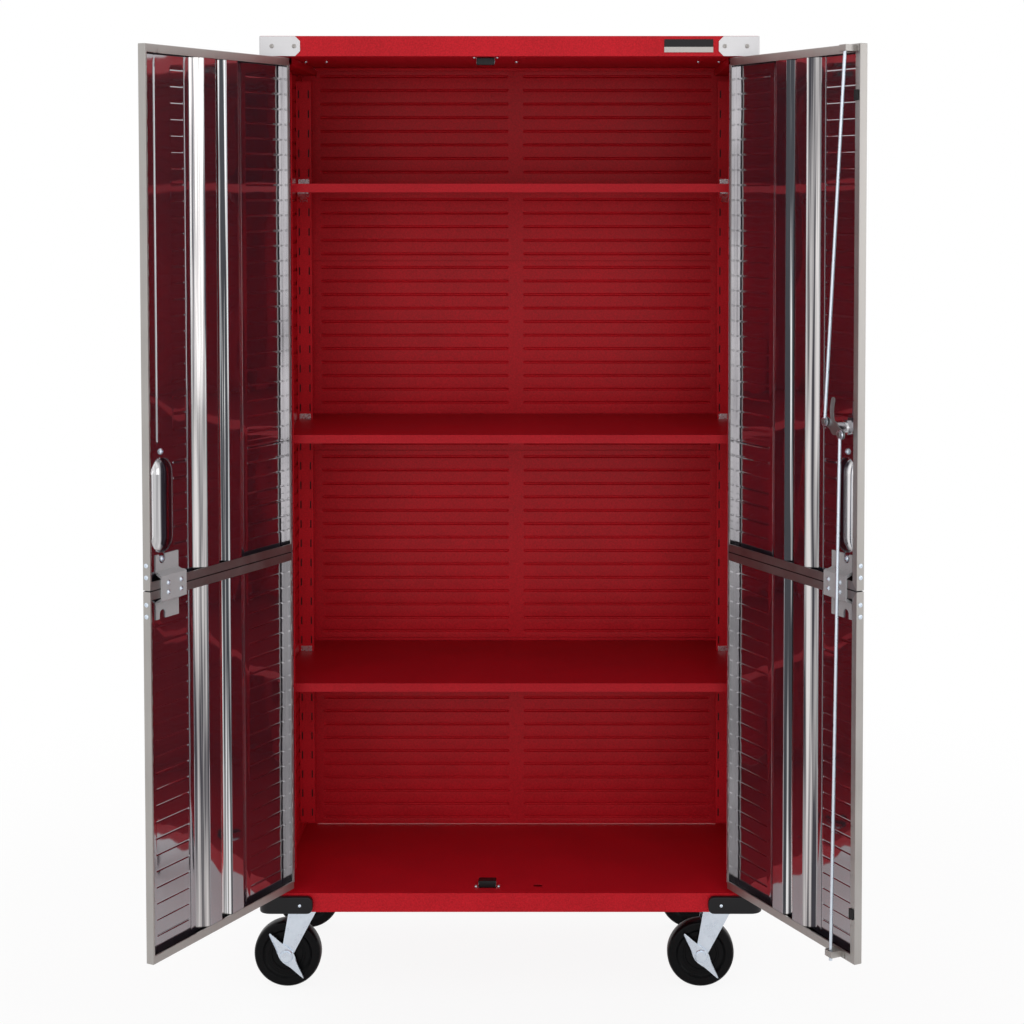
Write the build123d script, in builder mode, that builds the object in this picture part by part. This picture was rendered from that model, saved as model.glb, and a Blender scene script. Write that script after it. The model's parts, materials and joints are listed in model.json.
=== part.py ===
from build123d import *
import os
from math import cos, radians, sin

os.makedirs("parts", exist_ok=True)

# Carcass, in millimetres: x right, y back from the front face of the posts, z up from the floor
cap_width = 914.0
overall_height = 1793.0
body_depth = 396.0
side_overhang = 20.0
rail_overhang = 10.0
sheet = 1.2
cap_sheet = 1.5
cap_height = 37.0
cap_lip = 50.0
ceiling_lap = 6.0
ceiling_flange = 12.0
base_height = 36.0
base_lip = 15.0
floor_height = 197.0
column_width = 17.5
column_depth = 28.5
rear_flange = 25.0

# Pressed ribs of the back and side walls
panel_count = 4
ribs_per_panel = 14
rib_height = 9.0
rib_depth = 2.6
rib_slope = 45.0
back_rib_length = 385.0
back_rib_gap = 30.0
side_rib_length = 312.0
panel_gap = 0.4

# Slotted posts, shelves and clips
post_width = 30.0
post_leg = 25.0
post_hem = 6.0
post_rise = 34.0
post_drop = 29.0
front_post = 30.0
rear_post = 300.0
slot_width = 2.5
slot_height = 15.5
slot_spacing = 19.5
slot_pitch = 39.2
slot_rows = 38
first_slot = 251.0
shelf_rows = {"lower_shelf": 8, "middle_shelf": 20, "upper_shelf": 32}
shelf_above_slot = 17.0
shelf_lip = 16.0
shelf_front = 36.0
shelf_gap = 0.5
notch_gap = 1.5
clip_width = 22.0
clip_foot = 15.0
clip_sheet = 1.5
clip_ledge = 14.0
clip_above = 10.0
clip_below = 20.0
hook_width = 2.0
hook_height = 12.0
hook_length = 3.0

# Trim and catches
bracket_leg = 73.0
bracket_side_leg = 46.0
bracket_sheet = 2.0
bracket_chamfer = 9.0
bracket_clear = 0.5
bracket_screws = (21.0, 62.0)
bumper_leg = 98.0
bumper_thickness = 14.0
bumper_height = 32.0
bumper_rise = 2.0
bumper_corner = 22.0
bumper_end = 9.0
catch_across = -45.0
catch_width = 34.0
catch_depth = 20.0
catch_height = 14.0
catch_sheet = 1.2
catch_clear = 0.6

# Doors
open_angle = 117.0
door_gap = 6.0
hinge_gap = 7.0
door_thickness = 15.0
skin = 1.0
door_top_gap = 3.0
door_bottom_gap = 9.0
seam_height = 840.0
seam_gap = 1.5
hinge_flange = 4.0
free_flange = {-1: 5.0, 1: 13.0}
rail_flange = 14.5
hat_top = 97.0
hat_groove = 30.0
hat_groove_depth = 6.0
hat_groove_slope = 6.0
hat_web = 25.0
hat_foot = 12.0
hat_gap = 0.5
hinge_leaf = 1.2
hinge_leaf_depth = 15.0
hinge_relief = 0.5
hinge_inset = 12.0
knuckle_radius = 3.0
knuckle_count = 9
knuckle_gap = 0.6
pin_radius = 1.5
running_gap = 0.06

# Door fittings
handle_from_edge = 48.0
handle_height = 978.0
handle_spacing = 182.0
handle_reach = 18.5
handle_bar = 11.0
handle_bend = 12.0
dish_width = 52.0
dish_height = 164.0
dish_depth = 10.0
dish_slope = 40.0
screw_radius = 4.2
screw_head = 1.8
screw_shank = 2.0
handle_screw_radius = 5.6
seam_plate = 2.0
seam_plate_rise = 21.0
seam_tab_rise = 55.0
seam_plate_span = (95.0, 28.0)
seam_tab_span = (91.0, 31.0)
seam_notch = 8.0
seam_notch_rise = handle_height - handle_spacing / 2 - seam_height
seam_screws_from_edge = (80.0, 46.0)
seam_screws_rise = 8.0
wall_screws_rise = (23.0, 43.0)
bumper_tab = (11.0, 18.0, 3.0)
bumper_tab_inset = 85.0
bumper_tab_from_edge = 3.0

# Lock with two rods, on the right door
lock_from_edge = 52.0
lock_height = 1110.0
lock_flange_radius = 12.0
lock_flange = 3.0
barrel_radius = 9.5
barrel_length = 24.5
nut_across = 24.0
nut_height = 4.0
plug_radius = 5.0
cam_plate = 2.0
cam_radius = 24.0
cam_hub = 12.0
cam_ear = 8.0
cam_rest = 158.0
finger_length = 47.0
finger_bow = 7.0
finger_width = 10.0
eye_pin_radius = 2.5
eye_head_radius = 4.5
eye_head = 1.5
eye_radius = 8.0
eye_sheet = 3.0
rod_radius = 3.0
rod_gap = 0.6
guide_gap = 1.0
guide_play = 5.0
upper_guide_from_edge = 21.0
lower_guide_from_edge = 47.0
guide_height = 11.0
guide_foot = 36.0
guide_wall = 1.6
upper_tip_below_door = 3.0
lower_tip_above_floor = 4.0
rod_hole = (18.0, 9.0)

# Casters
caster_across = 392.0
caster_inset = 50.0
channel_width = 100.0
channel_height = 31.0
channel_sheet = 1.5
plate_length = 100.0
plate_width = 85.0
plate_thickness = 4.0
race_radius = 30.0
race_height = 4.0
race_gap = 0.5
crown_radius = 32.0
crown_thickness = 3.5
kingpin_radius = 6.0
kingpin_head_radius = 11.0
kingpin_head = 4.5
wheel_radius = 63.5
wheel_width = 32.0
hub_width = 36.0
hub_radius = 15.0
fork_gap = 38.0
fork_sheet = 3.0
fork_top = 55.0
fork_eye = 11.0
trail = 33.0
axle_radius = 5.0
axle_head_radius = 9.5
axle_head = 5.0
lever_length = 108.0
lever_width = 26.0
lever_end = 10.0
lever_hub = 15.0
lever_sheet = 2.5
lever_gap = 0.5
lever_tab = 10.0
lever_angle = -53.0

body_half = cap_width / 2 - side_overhang
wall_inside = body_half - sheet
cap_depth = body_depth + 2 * rail_overhang
cap_bottom = overall_height - cap_height
cap_side_lip = side_overhang + column_width + sheet
wall_height = cap_bottom - floor_height
panel_height = wall_height / panel_count
rib_pitch = panel_height / ribs_per_panel
back_inside = body_depth - 2 * sheet
post_inner = wall_inside - post_width
post_bottom = floor_height + post_rise
post_length = cap_bottom - post_drop - post_bottom

axis_across = body_half - column_width - hinge_gap / 2
door_start = hinge_gap / 2
door_width = body_half - column_width - hinge_gap - door_gap / 2
door_end = door_start + door_width
door_top = cap_bottom - door_top_gap
door_bottom = floor_height + door_bottom_gap
inner_face = door_thickness
door_halves = {
    "lower": (door_bottom, seam_height - seam_gap / 2),
    "upper": (seam_height + seam_gap / 2, door_top),
}
handle_at = door_end - handle_from_edge

swing = radians(open_angle)
door_reach = door_end * sin(swing) - inner_face * cos(swing)
cabinet_back = body_depth + rail_overhang + bumper_thickness
front = (door_reach - cabinet_back) / 2

lock_at = door_end - lock_from_edge
cam_face = barrel_length + lock_flange / 6
rod_face = cam_face + cam_plate + rod_gap + rod_radius
upper_eye = (
    lock_at + cam_radius * cos(radians(cam_rest)),
    lock_height + cam_radius * sin(radians(cam_rest)),
)
lower_eye = (2 * lock_at - upper_eye[0], 2 * lock_height - upper_eye[1])
upper_guide = (door_end - upper_guide_from_edge, door_top - rail_flange / 2)
lower_guide = (door_end - lower_guide_from_edge, door_bottom + rail_flange / 2)


def level(height):
    return Plane(origin=(0, front, height), x_dir=(1, 0, 0), z_dir=(0, 0, 1))


def facing(depth, across=0.0):
    return Plane(origin=(across, front + depth, 0), x_dir=(1, 0, 0), z_dir=(0, -1, 0))


def sideways(across):
    return Plane(origin=(across, front, 0), x_dir=(0, 1, 0), z_dir=(1, 0, 0))


def door_vectors(side):
    along = Vector(-side * cos(swing), -sin(swing), 0)
    inward = Vector(-side * sin(swing), cos(swing), 0)
    axis = Vector(side * axis_across, front, 0)
    return along, inward, axis


def door_face(side, inset):
    along, inward, axis = door_vectors(side)
    return Plane(origin=axis + inward * inset, x_dir=along, z_dir=inward * side)


def door_section(side, height):
    along, inward, axis = door_vectors(side)
    return Plane(origin=axis + Vector(0, 0, height), x_dir=along, z_dir=(0, 0, 1))


def door_edge(side, reach):
    along, inward, axis = door_vectors(side)
    return Plane(origin=axis + along * reach, x_dir=inward * -side, z_dir=along)


def finish(piece, name):
    piece.part.label = name
    export_step(piece.part, f"parts/{name}.step")


def along_rod(start, end, height):
    share = (height - start[1]) / (end[1] - start[1])
    return start[0] + share * (end[0] - start[0])


upper_tip = door_top - upper_tip_below_door
lower_tip = floor_height + lower_tip_above_floor
upper_hole = axis_across - along_rod(upper_eye, upper_guide, cap_bottom)
lower_hole = axis_across - along_rod(lower_eye, lower_guide, floor_height)

with BuildPart() as top_cap:
    with BuildSketch(level(cap_bottom)):
        with Locations((0, body_depth / 2)):
            Rectangle(cap_width, cap_depth)
    extrude(amount=cap_height)
    offset(amount=-cap_sheet, openings=top_cap.faces().sort_by(Axis.Z)[0])
    with BuildSketch(level(cap_bottom)):
        with Locations((0, body_depth / 2)):
            Rectangle(cap_width, cap_depth)
            Rectangle(cap_width - 2 * cap_side_lip, cap_depth - 2 * cap_lip, mode=Mode.SUBTRACT)
        with Locations((upper_hole, rod_face)):
            SlotOverall(*rod_hole, mode=Mode.SUBTRACT)
    extrude(amount=cap_sheet)
finish(top_cap, "top_cap")

with BuildPart() as ceiling_panel:
    with BuildSketch(level(cap_bottom + cap_sheet)):
        with Locations((0, body_depth / 2)):
            Rectangle(
                cap_width - 2 * cap_side_lip + 2 * ceiling_lap,
                cap_depth - 2 * cap_lip + 2 * ceiling_lap,
            )
    extrude(amount=ceiling_flange)
    offset(amount=-sheet, openings=ceiling_panel.faces().sort_by(Axis.Z)[-1])
finish(ceiling_panel, "ceiling_panel")

with BuildPart() as base_tray:
    with BuildSketch(level(floor_height - base_height)):
        with Locations((0, body_depth / 2)):
            Rectangle(cap_width, cap_depth)
    extrude(amount=base_height)
    offset(amount=-sheet, openings=base_tray.faces().sort_by(Axis.Z)[0])
    with BuildSketch(level(floor_height - base_height)):
        with Locations((0, body_depth / 2)):
            Rectangle(cap_width, cap_depth)
            Rectangle(cap_width - 2 * base_lip, cap_depth - 2 * base_lip, mode=Mode.SUBTRACT)
    extrude(amount=sheet)
    with BuildSketch(sideways(-cap_width / 2 + base_lip)):
        with Locations(
            (caster_inset, floor_height - sheet - channel_height / 2),
            (body_depth - caster_inset, floor_height - sheet - channel_height / 2),
        ):
            Rectangle(channel_width, channel_height)
            with Locations((0, channel_sheet / 2)):
                Rectangle(
                    channel_width - 2 * channel_sheet,
                    channel_height - channel_sheet,
                    mode=Mode.SUBTRACT,
                )
    extrude(amount=cap_width - 2 * base_lip)
    with BuildSketch(level(floor_height)):
        with Locations((lower_hole, rod_face)):
            SlotOverall(*rod_hole)
    extrude(amount=-sheet, mode=Mode.SUBTRACT)
finish(base_tray, "base_tray")

for side, name in ((-1, "left_side_panel"), (1, "right_side_panel")):
    column_inner = body_half - column_width
    outline = (
        (column_inner, column_depth),
        (column_inner, 0),
        (body_half, 0),
        (body_half, body_depth),
        (body_half - rear_flange, body_depth),
        (body_half - rear_flange, body_depth - sheet),
        (wall_inside, body_depth - sheet),
        (wall_inside, sheet),
        (column_inner + sheet, sheet),
        (column_inner + sheet, column_depth),
    )
    rib_middle = (back_inside / 2, (floor_height + cap_bottom) / 2)
    with BuildPart() as side_panel:
        with BuildSketch(level(floor_height)):
            with BuildLine():
                Polyline(*[(side * across, depth) for across, depth in outline], close=True)
            make_face()
        extrude(amount=wall_height)
        with BuildSketch(sideways(side * body_half)):
            with Locations(rib_middle):
                with GridLocations(0, rib_pitch, 1, panel_count * ribs_per_panel):
                    Rectangle(side_rib_length, rib_height)
        extrude(amount=side * rib_depth, taper=rib_slope)
        with BuildSketch(sideways(side * wall_inside)):
            with Locations(rib_middle):
                with GridLocations(0, rib_pitch, 1, panel_count * ribs_per_panel):
                    Rectangle(side_rib_length - sheet, rib_height - sheet)
        extrude(amount=side * rib_depth, taper=rib_slope, mode=Mode.SUBTRACT)
    finish(side_panel, name)

for number in range(panel_count):
    rib_middle = (0, cap_bottom - (number + 0.5) * panel_height)
    with BuildPart() as back_panel:
        with BuildSketch(facing(back_inside + sheet)):
            with Locations(rib_middle):
                Rectangle(2 * wall_inside - panel_gap, panel_height - panel_gap)
        extrude(amount=sheet)
        with BuildSketch(facing(back_inside + sheet)):
            with Locations(rib_middle):
                with GridLocations(back_rib_length + back_rib_gap, rib_pitch, 2, ribs_per_panel):
                    Rectangle(back_rib_length, rib_height)
        extrude(amount=-rib_depth, taper=rib_slope)
        with BuildSketch(facing(back_inside)):
            with Locations(rib_middle):
                with GridLocations(back_rib_length + back_rib_gap, rib_pitch, 2, ribs_per_panel):
                    Rectangle(back_rib_length - sheet, rib_height - sheet)
        extrude(amount=-rib_depth, taper=rib_slope, mode=Mode.SUBTRACT)
    finish(back_panel, f"back_panel_{number + 1}")

for side, across_name in ((-1, "left"), (1, "right")):
    for turn, face_depth, depth_name in ((1, front_post, "front"), (-1, rear_post, "rear")):
        outline = (
            (post_inner, 0),
            (wall_inside, 0),
            (wall_inside, post_leg),
            (wall_inside - sheet, post_leg),
            (wall_inside - sheet, sheet),
            (post_inner + sheet, sheet),
            (post_inner + sheet, post_hem),
            (post_inner, post_hem),
        )
        with BuildPart() as post:
            with BuildSketch(level(post_bottom)):
                with BuildLine():
                    Polyline(*[(side * a, face_depth - turn * d) for a, d in outline], close=True)
                make_face()
            extrude(amount=post_length)
            with BuildSketch(facing(face_depth)):
                with Locations((
                    side * (post_inner + post_width / 2),
                    first_slot + slot_pitch * (slot_rows - 1) / 2,
                )):
                    with GridLocations(slot_spacing, slot_pitch, 2, slot_rows):
                        Rectangle(slot_width, slot_height)
            extrude(amount=turn * sheet, mode=Mode.SUBTRACT)
        finish(post, f"{depth_name}_{across_name}_post")

shelf_half = wall_inside - sheet - shelf_gap
shelf_back = back_inside - notch_gap
notch_depths = (rear_post - clip_sheet - notch_gap, rear_post + post_hem + notch_gap)
shelf_tops = {name: first_slot + row * slot_pitch + shelf_above_slot for name, row in shelf_rows.items()}

for name, shelf_top in shelf_tops.items():
    with BuildPart() as shelf:
        with BuildSketch(level(shelf_top - shelf_lip)):
            with Locations((0, (shelf_front + shelf_back) / 2)):
                Rectangle(2 * shelf_half, shelf_back - shelf_front)
            with Locations(
                (-shelf_half, sum(notch_depths) / 2),
                (shelf_half, sum(notch_depths) / 2),
            ):
                Rectangle(
                    2 * (shelf_half - post_inner + notch_gap),
                    notch_depths[1] - notch_depths[0],
                    mode=Mode.SUBTRACT,
                )
        extrude(amount=shelf_lip)
        offset(amount=-sheet, openings=shelf.faces().sort_by(Axis.Z)[0])
    finish(shelf, name)

clip_across = post_inner + post_width / 2
with BuildPart() as shelf_clips:
    for shelf_top in shelf_tops.values():
        ledge = shelf_top - shelf_lip
        foot = ledge - clip_below
        hook_bottom = shelf_top - shelf_above_slot - slot_height / 2
        for side in (-1, 1):
            for turn, face_depth in ((1, front_post), (-1, rear_post)):
                edge = face_depth + turn * clip_sheet
                with BuildSketch(sideways(side * clip_across - clip_width / 2)):
                    with BuildLine():
                        Polyline(
                            (face_depth, shelf_top + clip_above),
                            (edge, shelf_top + clip_above),
                            (edge, ledge),
                            (edge + turn * clip_ledge, ledge),
                            (edge + turn * clip_ledge, ledge - 2 * clip_sheet),
                            (edge, foot),
                            (face_depth, foot),
                            close=True,
                        )
                    make_face()
                extrude(amount=clip_width)
                with BuildSketch(facing(face_depth, side * clip_across)):
                    with Locations((-clip_width / 2, foot), (clip_width / 2, foot)):
                        Rectangle(clip_width - clip_foot, clip_below, mode=Mode.ADD)
                extrude(amount=-turn * (clip_ledge + clip_sheet), mode=Mode.SUBTRACT)
                with BuildSketch(facing(face_depth, side * clip_across)):
                    with Locations((0, hook_bottom + hook_height / 2)):
                        with GridLocations(slot_spacing, 0, 2, 1):
                            Rectangle(hook_width, hook_height)
                extrude(amount=turn * (sheet + hook_length))
finish(shelf_clips, "shelf_clips")

corner_x = cap_width / 2
corner_y = -rail_overhang
with BuildPart() as corner_brackets:
    with BuildSketch(level(cap_bottom)):
        with BuildLine():
            Polyline(
                (corner_x + bracket_sheet, corner_y - bracket_sheet),
                (corner_x - bracket_leg, corner_y - bracket_sheet),
                (corner_x - bracket_leg, corner_y),
                (corner_x, corner_y),
                (corner_x, corner_y + bracket_side_leg),
                (corner_x + bracket_sheet, corner_y + bracket_side_leg),
                close=True,
            )
        make_face()
    extrude(amount=cap_height - bracket_clear)
    inner_end = corner_brackets.faces().sort_by(Axis.X)[0].edges().sort_by(Axis.Z)
    chamfer([inner_end[0], inner_end[-1]], length=bracket_chamfer)
    mirror(about=Plane.YZ)
    mirror(about=facing(body_depth / 2))
finish(corner_brackets, "corner_brackets")

with BuildPart() as corner_bracket_screws:
    with BuildSketch(facing(corner_y - bracket_sheet)):
        for side in (-1, 1):
            for distance in bracket_screws:
                with Locations((side * (corner_x - distance), cap_bottom + cap_height / 2)):
                    Circle(screw_radius)
    extrude(amount=screw_head)
    chamfer(corner_bracket_screws.faces().group_by(Axis.Y)[0].edges(), length=screw_head / 3)
    mirror(about=facing(body_depth / 2))
finish(corner_bracket_screws, "corner_bracket_screws")

with BuildPart() as corner_bumpers:
    with BuildSketch(level(floor_height - base_height + bumper_rise)):
        with BuildLine():
            Polyline(
                (corner_x + bumper_thickness, corner_y - bumper_thickness),
                (corner_x - bumper_leg, corner_y - bumper_thickness),
                (corner_x - bumper_leg, corner_y),
                (corner_x, corner_y),
                (corner_x, corner_y + bumper_leg),
                (corner_x + bumper_thickness, corner_y + bumper_leg),
                close=True,
            )
        outline = make_face()
        outer_corner = (corner_x + cap_width, front + corner_y - cap_width)
        fillet(outline.vertices().sort_by_distance(outer_corner)[0], bumper_corner)
    extrude(amount=bumper_height)
    ends = corner_bumpers.edges().filter_by(Axis.Z)
    fillet([ends.sort_by(Axis.X)[0], ends.sort_by(Axis.Y)[-1]], bumper_end)
    mirror(about=Plane.YZ)
    mirror(about=facing(body_depth / 2))
finish(corner_bumpers, "corner_bumpers")

catch_front = inner_face + catch_clear
with BuildPart() as catch_brackets:
    for mount, rise in ((cap_bottom, -1), (floor_height, 1)):
        with BuildSketch(facing(catch_front + catch_depth, catch_across)):
            with Locations((0, mount + rise * catch_height / 2)):
                Rectangle(catch_width, catch_height)
                with Locations((0, rise * catch_sheet / 2)):
                    Rectangle(
                        catch_width - 2 * catch_sheet,
                        catch_height - catch_sheet,
                        mode=Mode.SUBTRACT,
                    )
        extrude(amount=catch_depth - catch_sheet)
finish(catch_brackets, "catch_brackets")

with BuildPart() as catch_magnets:
    for mount, rise in ((cap_bottom, -1), (floor_height, 1)):
        with BuildSketch(facing(catch_front + catch_depth, catch_across)):
            with Locations((0, mount + rise * (catch_height + catch_sheet) / 2)):
                Rectangle(catch_width - 2 * catch_sheet, catch_height - catch_sheet)
        extrude(amount=catch_depth)
finish(catch_magnets, "catch_magnets")

hinge_bottom = door_bottom + hinge_inset
hinge_length = door_top - hinge_inset - hinge_bottom
knuckle_pitch = hinge_length / knuckle_count


def frame_section(side, height):
    return Plane(origin=(side * axis_across, front, height))


def build_leaf(section, side, turned, first, bore):
    across, depth = (1, -side) if turned else (side, 1)
    leaf_across = across * (door_start - hinge_leaf / 2)
    leaf_start = knuckle_radius + hinge_relief
    heights = [
        hinge_bottom + number * knuckle_pitch + knuckle_gap / 2
        for number in range(first, knuckle_count, 2)
    ]
    with BuildPart() as leaf:
        with BuildSketch(section(side, hinge_bottom)):
            with Locations((leaf_across, depth * (leaf_start + hinge_leaf_depth) / 2)):
                Rectangle(hinge_leaf, hinge_leaf_depth - leaf_start)
        extrude(amount=hinge_length)
        with BuildSketch(*[section(side, height) for height in heights]):
            Circle(knuckle_radius)
            with Locations((leaf_across, depth * leaf_start / 2)):
                Rectangle(hinge_leaf, leaf_start)
        extrude(amount=knuckle_pitch - knuckle_gap)
        with BuildSketch(section(side, hinge_bottom)):
            Circle(bore)
        extrude(amount=hinge_length, mode=Mode.SUBTRACT)
    return leaf


with BuildPart() as hinge_pins:
    with BuildSketch(level(hinge_bottom)):
        with Locations((-axis_across, 0), (axis_across, 0)):
            Circle(pin_radius)
    extrude(amount=hinge_length)
finish(hinge_pins, "hinge_pins")

for side, name in ((-1, "left"), (1, "right")):
    finish(build_leaf(frame_section, side, False, 0, pin_radius), f"{name}_hinge_frame_leaf")
    finish(build_leaf(door_section, side, True, 1, pin_radius + running_gap), f"{name}_hinge_door_leaf")

    screw_depth = -side * door_thickness / 2
    handle_ends = [(handle_at, handle_height + turn * handle_spacing / 2) for turn in (-1, 1)]
    for half, (bottom, top) in door_halves.items():
        middle = ((door_start + door_end) / 2, (bottom + top) / 2)
        opening = door_width - hinge_flange - free_flange[side]
        opening_middle = (door_start + hinge_flange + opening / 2, middle[1])
        wall_turn = 1 if half == "upper" else -1
        with BuildPart() as pan:
            with BuildSketch(door_face(side, 0)):
                with Locations(middle):
                    Rectangle(door_width, top - bottom)
            extrude(amount=side * door_thickness)
            inward = door_vectors(side)[1]
            offset(amount=-skin, openings=pan.faces().sort_by(Axis((0, 0, 0), inward))[-1])
            with BuildSketch(door_face(side, inner_face)):
                with Locations(middle):
                    Rectangle(door_width, top - bottom)
                with Locations(opening_middle):
                    Rectangle(opening, top - bottom - 2 * rail_flange, mode=Mode.SUBTRACT)
            extrude(amount=-side * skin)
            with BuildSketch(door_edge(side, door_end)):
                for rise in wall_screws_rise:
                    with Locations((screw_depth, seam_height + wall_turn * rise)):
                        Circle(screw_shank)
            extrude(amount=-skin, mode=Mode.SUBTRACT)
            if half == "upper":
                with BuildSketch(door_face(side, 0)):
                    with Locations((handle_at, handle_height)):
                        SlotOverall(dish_height, dish_width, rotation=90)
                extrude(amount=side * dish_depth, taper=dish_slope)
                with BuildSketch(door_face(side, 0)):
                    with Locations((handle_at, handle_height)):
                        SlotOverall(dish_height - 2 * skin, dish_width - 2 * skin, rotation=90)
                extrude(amount=side * (dish_depth - skin), taper=dish_slope, mode=Mode.SUBTRACT)
                with BuildSketch(door_face(side, 0)):
                    with Locations(*handle_ends):
                        Circle(screw_shank)
                    if side > 0:
                        with Locations((lock_at, lock_height)):
                            Circle(barrel_radius)
                extrude(amount=side * skin, mode=Mode.SUBTRACT)
        finish(pan, f"{name}_{half}_door")

    with BuildPart() as stiffeners:
        middle = (door_start + door_end) / 2
        for bottom, top in door_halves.values():
            ridge = (
                (hat_groove / 2 - hat_groove_slope, inner_face - hat_groove_depth),
                (hat_groove / 2, inner_face),
                (hat_top / 2, inner_face),
                (hat_top / 2 + hat_web, 2 * skin),
                (hat_top / 2 + hat_web + hat_foot, 2 * skin),
            )
            upper_line = [(middle - a, d) for a, d in reversed(ridge)] + [(middle + a, d) for a, d in ridge]
            lower_line = [(a, d - skin) for a, d in reversed(upper_line)]
            with BuildSketch(door_section(side, bottom + rail_flange + hat_gap)):
                with BuildLine():
                    Polyline(*[(a, -side * d) for a, d in upper_line + lower_line], close=True)
                make_face()
            extrude(amount=top - bottom - 2 * rail_flange - 2 * hat_gap)
    finish(stiffeners, f"{name}_stiffeners")

    with BuildPart() as seam_bracket:
        upper_half = (
            (skin, seam_tab_rise),
            (skin + seam_plate, seam_tab_rise),
            (skin + seam_plate, seam_plate_rise + 3 * seam_plate),
            (inner_face + seam_plate, seam_plate_rise),
        )
        under_half = (
            (inner_face, seam_plate_rise - 2 * seam_plate),
            (skin, seam_plate_rise + 2 * seam_plate),
        )
        outline = (
            list(upper_half)
            + [(d, -z) for d, z in reversed(upper_half)]
            + [(d, -z) for d, z in reversed(under_half)]
            + list(under_half)
        )
        near = door_end - seam_plate_span[0]
        far = door_end - seam_plate_span[1]
        with BuildSketch(door_edge(side, near)):
            with BuildLine():
                Polyline(*[(-side * d, seam_height + z) for d, z in outline], close=True)
            make_face()
        extrude(amount=far - near)
        with BuildSketch(door_face(side, 0)):
            near_cut = seam_plate_span[0] - seam_tab_span[0]
            far_cut = seam_tab_span[1] - seam_plate_span[1]
            tab_middle = (seam_tab_rise + seam_plate_rise) / 2
            for turn in (-1, 1):
                with Locations((near + near_cut / 2, seam_height + turn * (tab_middle + seam_plate))):
                    Rectangle(near_cut, seam_tab_rise - seam_plate_rise)
                with Locations((far - far_cut / 2, seam_height + turn * (tab_middle + seam_plate))):
                    Rectangle(far_cut, seam_tab_rise - seam_plate_rise)
                with Locations((handle_at, seam_height + turn * seam_notch_rise)):
                    Circle(seam_notch)
                    with Locations((0, turn * seam_notch)):
                        Rectangle(2 * seam_notch, 2 * seam_notch)
            for distance in seam_screws_from_edge:
                with Locations((door_end - distance, seam_height)):
                    with GridLocations(0, 2 * seam_screws_rise, 1, 2):
                        Circle(screw_shank)
        extrude(amount=side * 2 * door_thickness, mode=Mode.SUBTRACT)
    finish(seam_bracket, f"{name}_seam_bracket")

    with BuildPart() as door_screws:
        with BuildSketch(door_face(side, inner_face + seam_plate)):
            for distance in seam_screws_from_edge:
                with Locations((door_end - distance, seam_height)):
                    with GridLocations(0, 2 * seam_screws_rise, 1, 2):
                        Circle(screw_radius)
        extrude(amount=side * screw_head)
        with BuildSketch(door_edge(side, door_end)):
            for rise in wall_screws_rise:
                with Locations((screw_depth, seam_height)):
                    with GridLocations(0, 2 * rise, 1, 2):
                        Circle(screw_radius)
        extrude(amount=screw_head)
        with BuildSketch(door_face(side, skin)):
            with Locations(*handle_ends):
                Circle(handle_screw_radius)
        extrude(amount=side * 2 * screw_head)
    finish(door_screws, f"{name}_door_screws")

    with BuildPart() as handle:
        feet = [(0, z) for _, z in handle_ends]
        tops = [(side * handle_reach, z) for _, z in handle_ends]
        with BuildLine(door_edge(side, handle_at)) as path:
            FilletPolyline(feet[0], tops[0], tops[1], feet[1], radius=handle_bend)
        with BuildSketch(Plane(origin=path.line @ 0, z_dir=path.line % 0)):
            Circle(handle_bar / 2)
        sweep()
    finish(handle, f"{name}_handle")

with BuildPart() as door_bumpers:
    tab_width, tab_length, tab_height = bumper_tab
    with BuildSketch(door_face(1, inner_face)):
        with Locations(
            (door_end - tab_width / 2 - bumper_tab_from_edge, door_bottom + bumper_tab_inset),
            (door_end - tab_width / 2 - bumper_tab_from_edge, door_top - bumper_tab_inset),
        ):
            Rectangle(tab_width, tab_length)
    extrude(amount=tab_height)
finish(door_bumpers, "door_bumpers")

with BuildPart() as rod_guides:
    loop_height = rod_radius + guide_gap
    loop_width = rod_radius + guide_play
    for guide in (upper_guide, lower_guide):
        with BuildSketch(door_section(1, guide[1] - guide_height / 2)):
            with Locations((guide[0], -inner_face - guide_wall / 2)):
                Rectangle(guide_foot, guide_wall)
            with Locations((guide[0], -(inner_face + rod_face + loop_height + guide_wall) / 2)):
                Rectangle(2 * (loop_width + guide_wall), rod_face + loop_height + guide_wall - inner_face)
            with Locations((guide[0], -rod_face)):
                SlotOverall(2 * loop_width, 2 * loop_height, mode=Mode.SUBTRACT)
            with Locations((guide[0], -(inner_face + guide_wall + rod_face) / 2)):
                Rectangle(2 * loop_width, rod_face - inner_face - guide_wall, mode=Mode.SUBTRACT)
        extrude(amount=guide_height)
finish(rod_guides, "rod_guides")

with BuildPart() as lock_cylinder:
    with BuildSketch(door_face(1, 0)):
        with Locations((lock_at, lock_height)):
            Circle(lock_flange_radius)
    extrude(amount=-lock_flange)
    with BuildSketch(door_face(1, 0)):
        with Locations((lock_at, lock_height)):
            Circle(barrel_radius)
    extrude(amount=barrel_length)
    with BuildSketch(door_face(1, skin)):
        with Locations((lock_at, lock_height)):
            RegularPolygon(nut_across / 2, 6, major_radius=False)
    extrude(amount=nut_height)
    with BuildSketch(door_face(1, -lock_flange)):
        with Locations((lock_at, lock_height)):
            Circle(plug_radius + running_gap)
    extrude(amount=lock_flange + barrel_length, mode=Mode.SUBTRACT)
finish(lock_cylinder, "lock_cylinder")

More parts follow.
